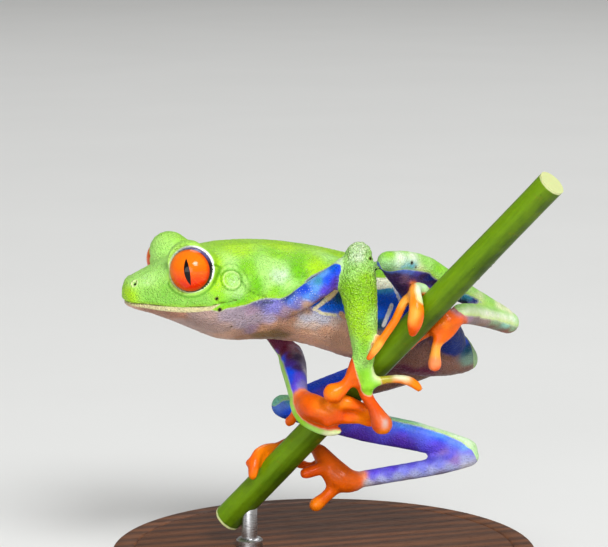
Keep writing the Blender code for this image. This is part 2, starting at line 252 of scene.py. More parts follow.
def makeGrainGroup():  # soft mottling and a fine pebbled height, shared by skin, stem and stand
    group = bpy.data.node_groups.new("mottledGrain", "ShaderNodeTree")
    group.interface.new_socket("Place", in_out="INPUT", socket_type="NodeSocketVector")
    for name, value in (("Patch Scale", 300.0), ("Pebble Scale", 2200.0)):
        group.interface.new_socket(name, in_out="INPUT", socket_type="NodeSocketFloat").default_value = value
    for name in ("Patches", "Pebbles", "Tops"):
        group.interface.new_socket(name, in_out="OUTPUT", socket_type="NodeSocketFloat")
    start, end = group.nodes.new("NodeGroupInput"), group.nodes.new("NodeGroupOutput")
    place = start.outputs["Place"]
    patches = fade(group, cloud(group, place, start.outputs["Patch Scale"], 4.0, 0.6), 0.32, 0.68)
    distance = cells(group, place, start.outputs["Pebble Scale"])
    pebbles, tops = fade(group, distance, 0.62, 0.12), fade(group, distance, 0.34, 0.1)
    for name, value in (("Patches", patches), ("Pebbles", pebbles), ("Tops", tops)):
        group.links.new(value, end.inputs[name])
    return group


grainGroup = makeGrainGroup()


def grain(tree, place, patchScale, pebbleScale):
    node = tree.nodes.new("ShaderNodeGroup")
    node.node_tree = grainGroup
    tree.links.new(place, node.inputs["Place"])
    node.inputs["Patch Scale"].default_value = patchScale
    node.inputs["Pebble Scale"].default_value = pebbleScale
    return node.outputs


# ---------- skin: the forms under it
facing = unit((-0.305, -0.939, 0.156))  # towards the viewer at the camera's angle
eyeRadius = 3.45
eyes = {
    "left": {"centre": np.array((-20.0, -6.3, 2.5)), "axis": unit((-0.54, -0.83, 0.15))},
    "right": {"centre": np.array((-20.3, 6.3, 2.45)), "axis": unit((-0.54, 0.83, 0.15))},
}
for eye in eyes.values():  # two more directions across each eye's axis: to the rear and up
    rear = np.array((1.0, 0.0, 0.0))
    eye["rear"] = unit(rear - eye["axis"] * (rear @ eye["axis"]))
    eye["up"] = np.cross(eye["axis"], eye["rear"])
    if eye["up"][2] < 0:
        eye["up"] = -eye["up"]

# middle line of each limb piece, shoulder or hip first, in mm on the bench
limbs = {
    "upper_arm_left": [
        (-8.6, -5.0, -4.6), (-6.0, -8.0, -3.6), (-3.4, -10.4, -1.9), (-0.6, -12.3, 0.4), (2.4, -13.7, 3.0)],
    "forearm_left": [
        (4.2, -14.1, 4.7), (3.75, -14.4, 1.7), (4.2, -14.7, -2.1), (4.6, -14.9, -6.0), (4.8, -14.9, -11.4)],
    "upper_arm_right": [(-8.2, 5.0, -4.2), (-6.0, 7.6, -6.6), (-2.3, 9.0, -10.8), (0.3, 8.9, -14.2)],
    "forearm_right": [(0.5, 8.6, -14.4), (-0.35, 4.4, -15.5), (-1.25, 0.2, -17.2), (-2.0, -3.2, -18.6)],
    "thigh_left": [(23.0, -3.2, -11.6), (18.6, -8.4, -5.8), (12.6, -12.9, 0.0), (9.0, -15.7, 2.9)],
    "shank_left": [
        (7.6, -17.2, 4.1), (11.3, -15.3, 3.5), (15.8, -13.1, 2.1), (20.6, -10.9, -1.4),
        (24.8, -9.0, -3.6), (31.8, -5.6, -7.5)],
    "tarsus_left": [(32.5, -5.2, -8.7), (28.0, -8.9, -7.2), (23.0, -13.1, -5.7), (20.2, -15.6, -5.2)],
    "thigh_right": [(25.0, 2.6, -14.2), (19.3, 4.4, -16.6), (11.1, 5.9, -19.0), (3.4, 7.4, -21.2)],
    "shank_right": [
        (-0.9, 7.9, -22.7), (4.6, 6.0, -24.3), (11.6, 3.8, -26.1), (19.3, 1.5, -27.7), (27.2, -0.9, -30.0)],
    "tarsus_right": [(27.4, -1.5, -30.9), (22.7, -1.0, -32.2), (16.2, 0.1, -33.2), (10.4, 1.1, -34.0)]}
fleshNodes = ["head", "trunk"] + list(limbs) + ["hand_left", "hand_right", "foot_left", "foot_right"]

skinPlan = {
    "firstCell": 0.3, "cell": 0.31,  # cell sizes of the two melts
    "bridge": 0.24,  # how far the forms swell to close the cuts between the solids
    "eyeInset": 0.22,  # how far the forms under the eyes stay inside the eyeballs
    "bodyRounds": 44, "limbRounds": 9, "bounce": 1.04,  # smoothing, and the shrinkage given back
}


class Pile:  # vertices and faces of many closed forms, to be melted into one
    def __init__(self):
        self.points, self.faces, self.count = [], [], 0

    def add(self, points, faces):
        self.points.append(np.asarray(points, float))
        self.faces += [[i + self.count for i in face] for face in faces]
        self.count += len(points)

    def mesh(self, name):
        mesh = bpy.data.meshes.new(name)
        mesh.from_pydata(np.concatenate(self.points).tolist(), [], self.faces)
        mesh.update()
        return mesh


def ringAngles(sides):
    return [2 * math.pi * s / sides for s in range(sides)]


def ballForm(centre, radius, sides=20, rings=12):
    points = [(0, 0, 1)]
    for ring in range(1, rings):
        a = math.pi * ring / rings
        points += [(math.sin(a) * math.cos(b), math.sin(a) * math.sin(b), math.cos(a))
                   for b in ringAngles(sides)]
    points.append((0, 0, -1))
    faces = [(0, 1 + s, 1 + (s + 1) % sides) for s in range(sides)]
    for ring in range(rings - 2):
        low = 1 + ring * sides
        faces += [(low + s, low + sides + s, low + sides + (s + 1) % sides, low + (s + 1) % sides)
                  for s in range(sides)]
    last = len(points) - 1
    faces += [(last, last - sides + (s + 1) % sides, last - sides + s) for s in range(sides)]
    return np.array(points) * radius + np.asarray(centre), faces


lidPlan = {
    "edge": 81.0,  # where the lid ends, in degrees from the eye's axis
    "width": 0.46, "frontWidth": 0.24, "lip": 0.2,
    "hood": {"left": 0.0, "right": 9.0}, "hoodAt": 115.0,  # how far it hangs, and where (90: top, 180: front)
    "sides": 72, "roots": ((-1.7, 3.0), (-1.9, 3.3)),  # hidden foot of the roll, along and across the axis
    "reach": 5.6, "behind": -2.5,  # the skin that is shaped to the lid
    "socketTop": -0.6, "sunk": 0.6, "clear": 0.05, "slope": 0.75, "edgeGap": 0.02, "innerGap": 0.08,
    "groove": 4.08,  # radius of the groove below and behind the lid
}


def lidEdge(side, angle):  # 0 is towards the rear, a quarter turn is up
    hang = np.maximum(np.cos(angle - math.radians(lidPlan["hoodAt"])), 0)
    return np.radians(lidPlan["edge"] - lidPlan["hood"][side] * hang)


def lidForm(side):  # a soft roll of lid hugging the ball all round
    loops, eye = [], eyes[side]
    for angle in ringAngles(lidPlan["sides"]):
        opening, seat = eyeRadius * math.sin(lidEdge(side, angle)), eyeRadius * math.cos(lidEdge(side, angle))
        narrowing = (lidPlan["width"] - lidPlan["frontWidth"]) * max(-math.cos(angle), 0) ** 2
        width = lidPlan["width"] - narrowing
        out = eye["rear"] * math.cos(angle) + eye["up"] * math.sin(angle)
        profile = [lidPlan["roots"][0], (seat - 0.3, opening - 0.1), (seat + 0.06, opening - 0.02),
                   (seat + lidPlan["lip"], opening + 0.14), (seat + 0.06, opening + width * 0.75),
                   (seat - 0.3, opening + width), (seat - 1.1, opening + width * 0.8), lidPlan["roots"][1]]
        loops.append([eye["centre"] + eye["axis"] * along + out * across for along, across in profile])
    size, sides = len(loops[0]), len(loops)
    faces = [(a * size + i, b * size + i, b * size + (i + 1) % size, a * size + (i + 1) % size)
             for a, b in ((s, (s + 1) % sides) for s in range(sides)) for i in range(size)]
    return [p for loop in loops for p in loop], faces


def webForm(lineA, lineB, thickness=0.5):  # a thin web between two digits, as a closed slab
    lineA, lineB = np.asarray(lineA, float), np.asarray(lineB, float)
    top, bottom = [], []
    for i in range(len(lineA)):
        j = min(i + 1, len(lineA) - 1)
        k = max(j - 1, 0)
        normal = unit(np.cross(lineA[j] - lineA[k], lineB[i] - lineA[i] + 1e-6)) * thickness / 2
        for spot in (lineA[i], lineB[i]):
            top.append(spot + normal)
            bottom.append(spot - normal)
    size, faces = len(top), []
    for i in range(0, size - 2, 2):
        faces += [(i, i + 1, i + 3, i + 2), (size + i, size + i + 2, size + i + 3, size + i + 1),
                  (i, i + 2, size + i + 2, size + i), (i + 1, size + i + 1, size + i + 3, i + 3)]
    faces += [(0, size, size + 1, 1), (size - 2, size - 1, 2 * size - 1, 2 * size - 2)]
    return top + bottom, faces


webs = [
    (
        [(19.4, -16.2, -6.2), (18.0, -16.7, -7.8), (16.9, -16.8, -9.4)],
        [(17.2, -16.7, -6.6), (16.5, -16.8, -7.8), (16.1, -16.8, -9.0)]),
    (
        [(4.0, -14.4, -12.6), (3.1, -14.2, -14.2), (2.3, -13.9, -15.6)],
        [(4.8, -14.5, -13.6), (5.0, -14.4, -15.4), (3.4, -14.1, -15.9)]),
    (
        [(-3.4, 4.4, -28.9), (-5.2, 3.9, -29.8), (-6.8, 3.7, -30.4)],
        [(-3.8, 4.3, -29.6), (-5.0, 3.4, -30.6), (-6.2, 3.0, -31.6)]),
    ([(4.6, 2.4, -32.4), (3.6, 2.2, -33.0)], [(5.2, 2.2, -34.4), (4.6, 2.3, -35.2)])]
knuckles = [
    ((1.5, -11.2, -18.0), 1.35), ((0.4, -10.6, -21.6), 1.0), ((13.4, -17.2, -0.7), 1.15),
    ((4.9, -15.0, -15.4), 0.9)]


def copyOfNode(name):
    shape = bmesh.new()
    shape.from_mesh(nodes[name].data)
    bmesh.ops.remove_doubles(shape, verts=shape.verts, dist=1e-6)
    bmesh.ops.recalc_face_normals(shape, faces=shape.faces)
    points = toBench([v.co for v in shape.verts])
    shape.verts.index_update()
    faces = [[v.index for v in face.verts] for face in shape.faces]
    shape.free()
    return points, faces


def melted(mesh, cell):
    thing = bpy.data.objects.new("melt", mesh)
    scene.collection.objects.link(thing)
    melt = thing.modifiers.new("melt", "REMESH")
    melt.mode, melt.voxel_size, melt.adaptivity = "VOXEL", cell, 0.0
    done = bpy.data.meshes.new_from_object(thing.evaluated_get(bpy.context.evaluated_depsgraph_get()))
    bpy.data.objects.remove(thing)
    bpy.data.meshes.remove(mesh)
    return done


def relax(values, edges, rounds, strength, bounce=0.0):
    values = np.array(values, float)
    flat = values.reshape(len(values), -1)
    count = np.maximum(np.bincount(edges.ravel(), minlength=len(values)), 1)
    strength = np.broadcast_to(np.asarray(strength, float), len(values))
    for step in range(rounds * (2 if bounce else 1)):
        amount = strength if not (bounce and step % 2) else -bounce * strength
        mean = np.empty_like(flat)
        for k in range(flat.shape[1]):
            column = flat[:, k]
            mean[:, k] = (np.bincount(edges[:, 0], column[edges[:, 1]], len(flat))
                          + np.bincount(edges[:, 1], column[edges[:, 0]], len(flat))) / count
        flat += amount[:, None] * (mean - flat)
    return flat.reshape(values.shape)


def withoutCrumbs(mesh):  # drops what the melt left apart from the main body
    edges, label = readEdges(mesh), np.arange(len(mesh.vertices))
    while True:
        lowest, joined = np.minimum(label[edges[:, 0]], label[edges[:, 1]]), label.copy()
        np.minimum.at(joined, edges[:, 0], lowest)
        np.minimum.at(joined, edges[:, 1], lowest)
        joined = joined[joined]
        if (joined == label).all():
            break
        label = joined
    shape = bmesh.new()
    shape.from_mesh(mesh)
    shape.verts.ensure_lookup_table()
    crumbs = np.flatnonzero(label != np.bincount(label).argmax())
    bmesh.ops.delete(shape, geom=[shape.verts[i] for i in crumbs], context="VERTS")
    shape.to_mesh(mesh)
    shape.free()
    return mesh


def buildRawSkin():
    pile = Pile()
    for name in fleshNodes:
        pile.add(*copyOfNode(name))
    for side, eye in eyes.items():
        pile.add(*ballForm(eye["centre"], eyeRadius - skinPlan["eyeInset"], 40, 24))
        pile.add(*lidForm(side))
    for lineA, lineB in webs:
        pile.add(*webForm(lineA, lineB))
    for place, size in knuckles:
        pile.add(*ballForm(place, size))
    mesh = melted(pile.mesh("skinForms"), skinPlan["firstCell"])
    edges = readEdges(mesh)
    points = relax(readPoints(mesh), edges, 2, 0.5)
    writePoints(mesh, points)
    writePoints(mesh, points + readNormals(mesh) * skinPlan["bridge"])
    return withoutCrumbs(melted(mesh, skinPlan["cell"]))


skinMesh = buildRawSkin()
print("forms melted:", len(skinMesh.polygons), "faces")


def nearestNodes(points):  # for each skin point, the solid it grew from
    corners, triangles, owners, base = [], [], [], 0
    for index, name in enumerate(fleshNodes):
        nodePoints, faces = copyOfNode(name)
        corners += [Vector(p) for p in nodePoints]
        triangles += [[i + base for i in face] for face in faces]
        owners += [index] * len(faces)
        base += len(nodePoints)
    tree = BVHTree.FromPolygons(corners, triangles)
    return np.array([owners[tree.find_nearest(Vector(p))[2]] for p in points])


def isNode(owner, *names):
    return np.isin(owner, [fleshNodes.index(name) for name in names])


edges = readEdges(skinMesh)
points = readPoints(skinMesh)
owner = nearestNodes(points)
torso = relax(isNode(owner, "head", "trunk").astype(float), edges, 6, 0.5)
eyeDistance = np.min([np.linalg.norm(points - eye["centre"], axis=1) for eye in eyes.values()], axis=0)
broad = torso * smoothStep(4.6, 5.4, eyeDistance)
points = relax(points, edges, skinPlan["bodyRounds"], 0.5 * broad, skinPlan["bounce"])
points = relax(points, edges, skinPlan["limbRounds"], 0.5, skinPlan["bounce"])
writePoints(skinMesh, points)
points = points - readNormals(skinMesh) * skinPlan["bridge"]
writePoints(skinMesh, points)
print("skin smoothed")


# ---------- skin: sculpted detail
def lineDistance(points, line):
    best = np.full(len(points), 1e9)
    for a, b in zip(line[:-1], line[1:]):
        a, b = np.asarray(a, float), np.asarray(b, float)
        way = b - a
        t = np.clip((points - a) @ way / (way @ way), 0, 1)
        best = np.minimum(best, np.linalg.norm(points - a - t[:, None] * way, axis=1))
    return best


def mirrored(points):  # both sides of the body as if they were the near side
    return points * (1, 0, 1) - np.abs(points) * (0, 1, 0)


# the mouth in the side view, snout first
mouthLine = [
    (-29.6, -2.9), (-28.5, -2.9), (-26.8, -2.8), (-24.3, -3.0), (-22.1, -3.1), (-19.9, -3.0),
    (-17.8, -2.85), (-16.3, -2.4), (-14.5, -2.15), (-13.6, -2.0)]
mouthX, mouthZ = zip(*mouthLine)
relief = {  # height and half width of each fold or groove, in mm
    "mouth": (-0.3, 0.2), "underMouth": (0.1, 0.34), "overMouth": (0.07, 0.3),
    "nostril": (-0.34, 0.3), "nostrilRim": (0.12, 0.22),
    "drumRing": (0.24, 0.26), "drumGroove": (-0.22, 0.26), "drumMiddle": (0.05, 0.25),
    "drumFold": (0.32, 0.46), "cheekFold": (0.14, 0.35), "lobe": (-0.34, 0.3), "canthus": (0.16, 0.55),
    "shoulderEdge": (0.2, 0.5), "shoulderGroove": (-0.2, 0.3),
    "lidRoll": (0.05, 0.2), "lidGroove": (-0.26, 0.24),
}
headMarks = {  # places on the near side; those of the nostril, the dot above it and the drum are found below
    "drumRadius": 1.28, "drumDish": 0.05,
    "drumFold": [
        (-15.9, -7.9, 2.3), (-14.9, -7.6, 3.0), (-13.6, -7.7, 2.9), (-12.6, -8.2, 2.0),
        (-12.1, -8.8, 0.6), (-11.9, -9.0, -0.5)],
    "lobe": [
        (-13.2, 0.0, 1.2), (-12.2, 0.0, -0.2), (-11.2, 0.0, -1.0), (-10.0, 0.0, -1.5), (-8.9, 0.0, -1.9)],
    "cheekFold": [(-12.4, -8.9, 0.0), (-13.9, -9.1, -0.5), (-15.3, -9.1, -1.2)],
    "canthus": [(-28.4, -2.0, 0.8), (-26.4, -3.3, 1.7), (-24.4, -4.2, 2.5)],
    "shoulderEdge": [
        (-9.2, -8.9, -2.4), (-7.9, -8.8, -2.5), (-6.4, -8.7, -2.1), (-4.9, -8.7, -1.4),
        (-3.5, -8.7, -0.6), (-0.9, -8.2, 0.6), (2.9, -6.7, 1.9)]}


def onSkin(mine, x, z):  # the outermost skin point of the near side at a side view place
    near = mirrored(points[mine])
    inwards = np.where(near[:, 1] < -0.3, 0.05 * (near[:, 1] + 10), 9)
    return near[np.argmin((near[:, 0] - x) ** 2 + (near[:, 2] - z) ** 2 + inwards)]


for name, (x, z) in (("nostril", (-28.15, 0.15)), ("noseDot", (-27.75, 0.4)), ("drum", (-14.3, 1.05))):
    headMarks[name] = onSkin(isNode(owner, "head", "trunk"), x, z)


def aroundEye(points, eye):  # along and across the eye's axis, the angle round it, and the way outwards
    offset = points - eye["centre"]
    along = offset @ eye["axis"]
    flat = offset - along[:, None] * eye["axis"]
    across = np.linalg.norm(flat, axis=1)
    angle = np.arctan2(flat @ eye["up"], flat @ eye["rear"])
    return along, across, angle, flat / np.maximum(across, 1e-6)[:, None]


def lidSpan(points):  # distance from the groove round the lower and rear side of an eye
    best = np.full(len(points), 9.0)
    for eye in eyes.values():
        along, across, angle, _ = aroundEye(points, eye)
        lower = smoothStep(-0.2, 0.25, np.cos(angle + math.radians(75)))
        mine = (np.abs(along + 0.4) < 1.9) & (lower > 0.01)
        best[mine] = (across - lidPlan["groove"] + (1 - lower) * 1.5)[mine]
    return best


def fold(name, distance):
    height, width = relief[name]
    return height * bell(distance, width)


def sculptHead(points):
    near = mirrored(points)
    fromMark = {name: np.linalg.norm(near - headMarks[name], axis=1) for name in ("nostril", "drum")}
    crease = near[:, 2] - np.interp(near[:, 0], mouthX, mouthZ)
    inMouth = smoothStep(-13.2, -14.6, near[:, 0]) * (eyeDistance > 4.2)
    push = inMouth * (
        fold("mouth", crease) + fold("underMouth", crease + 0.5) + fold("overMouth", crease - 0.45))
    push += fold("nostril", fromMark["nostril"]) + fold("nostrilRim", fromMark["nostril"] - 0.62)
    pastRing = fromMark["drum"] - headMarks["drumRadius"]
    dish = headMarks["drumDish"] * (pastRing < -0.2)
    push += (near[:, 0] < -13.0) * (fold("drumRing", pastRing) + fold("drumGroove", pastRing - 0.55) - dish
                                    + fold("drumMiddle", fromMark["drum"] - 0.35))
    for name in ("drumFold", "cheekFold", "canthus"):
        push += fold(name, lineDistance(near, headMarks[name]))
    push += (near[:, 1] < -5.5) * fold("lobe", lineDistance(near * (1, 0, 1), headMarks["lobe"]))
    edge, (edgeX, _, edgeZ) = lineDistance(near, headMarks["shoulderEdge"]), zip(*headMarks["shoulderEdge"])
    above = near[:, 2] > np.interp(near[:, 0], edgeX, edgeZ)
    inSpan = (near[:, 0] > -9.6) & (near[:, 0] < 3.4)
    push += inSpan * (fold("shoulderEdge", edge) * above + fold("shoulderGroove", edge - 0.25) * ~above)
    span = lidSpan(points)
    return push + fold("lidRoll", span + 0.36) + fold("lidGroove", span)


def cellHeight(points, size, seed):  # rounded granules, 0 in the gaps and 1 on top
    scaled = points / size + seed
    return np.array([1.0 - min(noise.voronoi(p)[0][0] / 0.75, 1.0) for p in scaled])


def fog(points, size, seed):
    return np.array([noise.noise(Vector(p)) for p in points / size + seed])


normals = readNormals(skinMesh)
push = sculptHead(points) * relax(isNode(owner, "head", "trunk").astype(float), edges, 4, 0.5)
print("head sculpted")

granules = {  # depths and sizes in mm
    "armMiddle": (4.2, -14.6, 3.6), "armReach": 9.0, "armDepth": 0.1, "armSize": 0.7,  # raised elbow
    "fineDepth": 0.055, "fineSize": 0.72, "waveDepth": 0.035, "waveSize": 2.2,
    "bellyDepth": 0.09, "bellySize": 1.15,
}
grainBy = {  # how strongly each part is granular
    "head": 0.7, "trunk": 0.8, "upper_arm_left": 0.6, "forearm_left": 1.0, "upper_arm_right": 0.5,
    "forearm_right": 0.4, "thigh_left": 0.6, "thigh_right": 0.6, "shank_left": 0.6, "shank_right": 0.5,
    "tarsus_left": 0.4, "tarsus_right": 0.4, "hand_left": 0.12, "hand_right": 0.12, "foot_left": 0.12,
    "foot_right": 0.12,
}
elbowSpan = np.linalg.norm((points - granules["armMiddle"]) * (1, 1, 0.62), axis=1)
onArm = relax(isNode(owner, "forearm_left").astype(float), edges, 5, 0.5)
armPebbles = smoothStep(0.0, 0.75, cellHeight(points, granules["armSize"], 5.0))
armGrain = smoothStep(granules["armReach"], 3.0, elbowSpan) * onArm
push += granules["armDepth"] * armGrain * (armPebbles - 0.45)
grainField = np.array([grainBy[name] for name in fleshNodes])[owner]
grainField = relax(grainField, edges, 8, 0.5) * smoothStep(3.9, 4.6, eyeDistance)
belly = isNode(owner, "trunk") * smoothStep(-6.0, -9.0, points[:, 2] + np.maximum(points[:, 0], 0) * 0.25)
belly = relax(belly, edges, 6, 0.5)
fineCells = smoothStep(0.0, 0.8, cellHeight(points, granules["fineSize"], 3.0))
waves = fog(points, granules["waveSize"], 11.0)
push += grainField * (granules["fineDepth"] * (fineCells - 0.45) + granules["waveDepth"] * waves)
push += belly * granules["bellyDepth"] * (cellHeight(points, granules["bellySize"], 19.0) - 0.4)
restPoints, restNear = points.copy(), mirrored(points)
points = points + normals * push[:, None]


def openLid(side, eye):  # opens the lid to a clean edge, with the socket well under the ball
    along, across, angle, way = aroundEye(points, eye)
    span = np.linalg.norm(points - eye["centre"], axis=1)
    limit = lidEdge(side, angle)
    opening, seat, lip = eyeRadius * np.sin(limit), eyeRadius * np.cos(limit), lidPlan["lip"]
    close = (span < lidPlan["reach"]) & (along > lidPlan["behind"])
    inside = close & (across < opening) & (along > lidPlan["socketTop"])
    outside = close & ~inside
    innerRing, outerRing = np.zeros(len(points), bool), np.zeros(len(points), bool)
    for a, b in ((0, 1), (1, 0)):  # the two rings of points that the opening runs between
        crossing = inside[edges[:, a]] & outside[edges[:, b]]
        innerRing[edges[crossing, a]] = True
        outerRing[edges[crossing, b]] = True
    ceiling = seat + lip + lidPlan["slope"] * np.maximum(across - opening, 0)
    height = along + smoothStep(5.5, 4.5, span) * (np.minimum(along, ceiling) - along)
    ring = outerRing & (height > lidPlan["socketTop"])
    across = np.where(ring, opening + lidPlan["edgeGap"], across)
    height = np.where(ring, np.clip(height, seat + 0.04, seat + lip), height)
    grow = np.maximum((eyeRadius + lidPlan["clear"]) / np.maximum(np.hypot(across, height), 1e-6), 1.0)
    shrink = (eyeRadius - lidPlan["sunk"]) / np.maximum(span, 1e-6)
    across = np.where(inside, across * shrink, np.where(outside, across * grow, across))
    height = np.where(inside, along * shrink, np.where(outside, height * grow, height))
    across = np.where(innerRing, opening - lidPlan["innerGap"], across)
    height = np.where(innerRing, seat - lidPlan["sunk"], height)
    points[close] = (eye["centre"] + way * across[:, None] + height[:, None] * eye["axis"])[close]


for side, eye in eyes.items():
    openLid(side, eye)
writePoints(skinMesh, points)
print("granules raised")


# ---------- skin: colour fields
paints = {
    "throat": (178, 150, 142), "throatRed": (178, 130, 108), "throatEdge": (208, 166, 144),
    "chest": (164, 148, 160), "lilacPink": (168, 140, 160), "lilac": (128, 124, 196),
    "whiteLilac": (196, 196, 210), "pinkWhite": (206, 184, 172), "pinkTan": (204, 164, 138),
    "tan": (192, 146, 116), "belly": (212, 168, 138), "bellyBrown": (128, 90, 76),
    # olive is painted shade under the chest
    "paintedShadeOlive": (136, 108, 70), "softBlue": (92, 128, 226), "rearBlue": (16, 104, 255),
    "sky": (96, 158, 240), "royal": (18, 78, 240), "flankBlue": (0, 98, 220), "navy": (18, 44, 124),
    "darkTeal": (12, 78, 104), "greyTeal": (110, 140, 124), "teal": (60, 150, 184), "night": (52, 34, 76),
    "maroon": (104, 34, 60), "plum": (62, 38, 92), "plumGrey": (104, 78, 104), "wine": (128, 66, 92),
    "deepPurple": (78, 46, 164), "violet": (92, 72, 214), "iris": (98, 92, 212),
    "periwinkle": (124, 128, 230), "mauve": (142, 112, 186), "paleLilac": (160, 166, 214),
    "greyLilac": (140, 136, 168), "dusk": (86, 86, 134), "mistLilac": (176, 162, 190),
    "pinkGrey": (150, 130, 126), "brown": (128, 94, 72), "redBrown": (146, 76, 50),
    "orange": (236, 98, 0), "deepOrange": (226, 82, 0), "burnt": (224, 94, 0),
    # paintedHighlightOrange is a painted highlight on the toes
    "lightOrange": (246, 126, 2), "paintedHighlightOrange": (252, 164, 60), "salmon": (244, 140, 84),
    "ochre": (196, 150, 30), "oliveGold": (170, 168, 48), "leaf": (138, 208, 44),
    "leafYellow": (166, 222, 34), "leafPale": (168, 226, 116), "leafDeep": (118, 196, 28),
    "leafShade": (134, 197, 78), "greySage": (126, 172, 122), "mintWhite": (198, 230, 188),
    "lime": (154, 212, 34), "mint": (150, 214, 188), "sage": (150, 182, 140), "cyan": (84, 168, 198),
    "cream": (226, 236, 190), "white": (236, 246, 226)}
paints = {name: np.array(colour(*value)[:3]) for name, value in paints.items()}

# lower limit of the green along the body, in mm
borderLine = [
    (-29.6, -2.9), (-28.5, -2.9), (-26.8, -2.8), (-24.3, -3.0), (-22.1, -3.1), (-19.9, -3.0),
    (-18.3, -3.0), (-17.4, -3.5), (-16.3, -3.6), (-15.4, -3.2), (-13.2, -2.95), (-12.0, -2.75),
    (-11.0, -2.4), (-10.2, -2.2), (-9.0, -2.0), (-7.9, -2.1), (-6.4, -2.05), (-4.9, -1.4), (-3.5, -0.4),
    (-1.5, 1.0), (2.9, 2.4), (7.0, 1.0), (10.0, -0.3), (13.0, -0.5), (16.0, -2.9), (20.0, -5.8),
    (25.0, -9.4), (27.0, -12.2), (27.4, -16.0), (29.8, -17.5)]
# pale bars on the flank: their line in the side view, half width and colour
flankBars = [
    ([(2.8, -0.7), (1.9, -1.6), (1.0, -2.4)], 0.6, (250, 218, 156)),
    ([(1.0, -2.4), (0.2, -3.1), (-1.2, -4.2)], 0.36, (252, 240, 200)),
    ([(-0.9, -4.3), (0.1, -4.9), (2.3, -5.35)], 0.3, (232, 226, 188)),
    ([(3.1, -5.1), (3.8, -5.7)], 0.42, (206, 160, 122)),
    ([(9.8, -1.0), (11.4, -0.9), (12.4, -1.05)], 0.95, (244, 246, 216)),
    ([(11.9, -4.5), (11.3, -5.7), (10.5, -7.4)], 0.42, (255, 255, 252)),
    ([(12.9, -1.7), (13.4, -3.4), (14.0, -4.7)], 0.34, (232, 232, 246)),
    ([(6.4, 0.2), (5.4, -2.6), (4.9, -5.0)], 0.5, (224, 214, 168))]
# side view places of each colour, on either flank
bodyDabs = {
    "throatEdge": [(-28.7, -3.8), (-13.4, -7.6), (-14.6, -8.6)],
    "throatRed": [(-26.0, -4.2), (-24.0, -4.8), (-22.0, -4.4)],
    "throat": [(-20.0, -4.2), (-21.0, -5.6), (-18.0, -4.5), (-18.0, -6.6), (-15.4, -6.4)],
    "chest": [(-15.4, -4.4), (-13.4, -4.2), (-13.0, -5.8), (-10.8, -5.2)],
    "tan": [(-11.6, -8.8), (-4.6, -5.8), (-7.0, -6.5), (-9.0, -7.0), (-4.8, -7.4)],
    "lilacPink": [(-11.2, -3.6), (-10.6, -6.9), (-5.6, -4.8)], "dusk": [(-11.0, -2.8), (-9.4, -2.6)],
    # olive along the underside of the chest is painted shade
    "paintedShadeOlive": [(-9.2, -8.2), (-7.0, -8.0), (-5.4, -8.6)], "lilac": [(-8.2, -3.6)],
    "mistLilac": [(-8.0, -5.4)], "softBlue": [(-6.5, -3.0)],
    "navy": [
        (-3.4, -3.2), (0.2, -2.4), (1.3, -1.2), (3.6, 0.0), (6.0, -5.0), (7.4, -7.0), (12.6, -8.4),
        (24.2, -10.6)],
    "pinkTan": [(-2.4, -4.4), (3.6, -7.0), (6.4, -8.8), (9.5, -9.6), (11.4, -11.0)],
    "flankBlue": [
        (-1.2, -3.5), (0.4, -4.2), (1.6, -4.2), (2.8, -4.3), (6.0, -2.0), (7.6, -1.4), (8.2, -4.6)],
    "darkTeal": [(3.0, -3.1), (3.6, -2.0), (9.9, -7.2), (26.0, -12.8)],
    "whiteLilac": [(-2.6, -5.5), (-1.2, -5.5), (0.4, -6.0)],
    "pinkWhite": [(2.2, -6.3), (-3.2, -6.6), (-1.2, -6.9)],
    "belly": [
        (-2.0, -8.1), (1.0, -7.7), (3.2, -8.8), (0.0, -10.2), (4.5, -11.2), (-3.0, -9.4), (8.0, -12.6),
        (12.0, -13.8)],
    "teal": [(10.4, -2.1), (12.2, -2.0)],
    "rearBlue": [(10.4, -3.0), (12.4, -3.0), (11.2, -4.0), (12.7, -5.0), (9.8, -5.4)],
    "royal": [(11.9, -6.8), (14.5, -6.4), (25.4, -11.4)],
    "bellyBrown": [
        (15.0, -13.2), (17.0, -14.4), (22.4, -13.4), (23.6, -16.0), (26.0, -16.6), (19.5, -12.2)],
    # maroon here is a painted shadow line along the crease between belly and thigh
    "maroon": [(15.6, -15.6), (18.6, -16.4)], "plumGrey": [(22.0, -10.8)], "greyTeal": [(26.2, -14.4)],
    "night": [(20.0, -9.0), (17.0, -8.6)]}
# the same for the green parts
backDabs = {
    "leafYellow": [
        (-29.0, -1.6), (-16.2, 3.4), (-16.4, 0.6), (-0.6, 2.4), (-12.0, 5.2), (-5.0, 5.0), (4.0, 3.6)],
    "leafPale": [
        (-27.8, 0.8), (-26.0, 1.0), (-24.6, 2.2), (-14.4, 3.3), (-12.9, 0.2), (-14.4, -0.9), (-8.8, 2.4),
        (-8.4, 0.2), (-6.8, 2.6), (-5.0, -0.6), (3.0, 3.2)],
    "leafShade": [(-26.4, -1.0), (-24.4, -1.6), (-22.0, -2.3), (-19.0, -2.2), (-14.6, -1.7)],
    "leaf": [
        (-16.4, -1.2), (-11.2, -1.6), (-11.4, 2.4), (-6.2, 4.2), (-7.6, -1.2), (-2.0, 3.2), (9.6, 1.4),
        (11.8, 0.2), (16.0, -2.2), (22.0, -6.4)],
    # mintWhite here is the middle of the pale shoulder patch, partly painted highlight
    "leafDeep": [(-13.4, -2.5), (-15.6, -2.8), (-10.4, 0.0), (-3.6, 1.6)], "mintWhite": [(-6.8, 1.2)],
    "sage": [(26.6, -12.0), (27.6, -15.0)]}
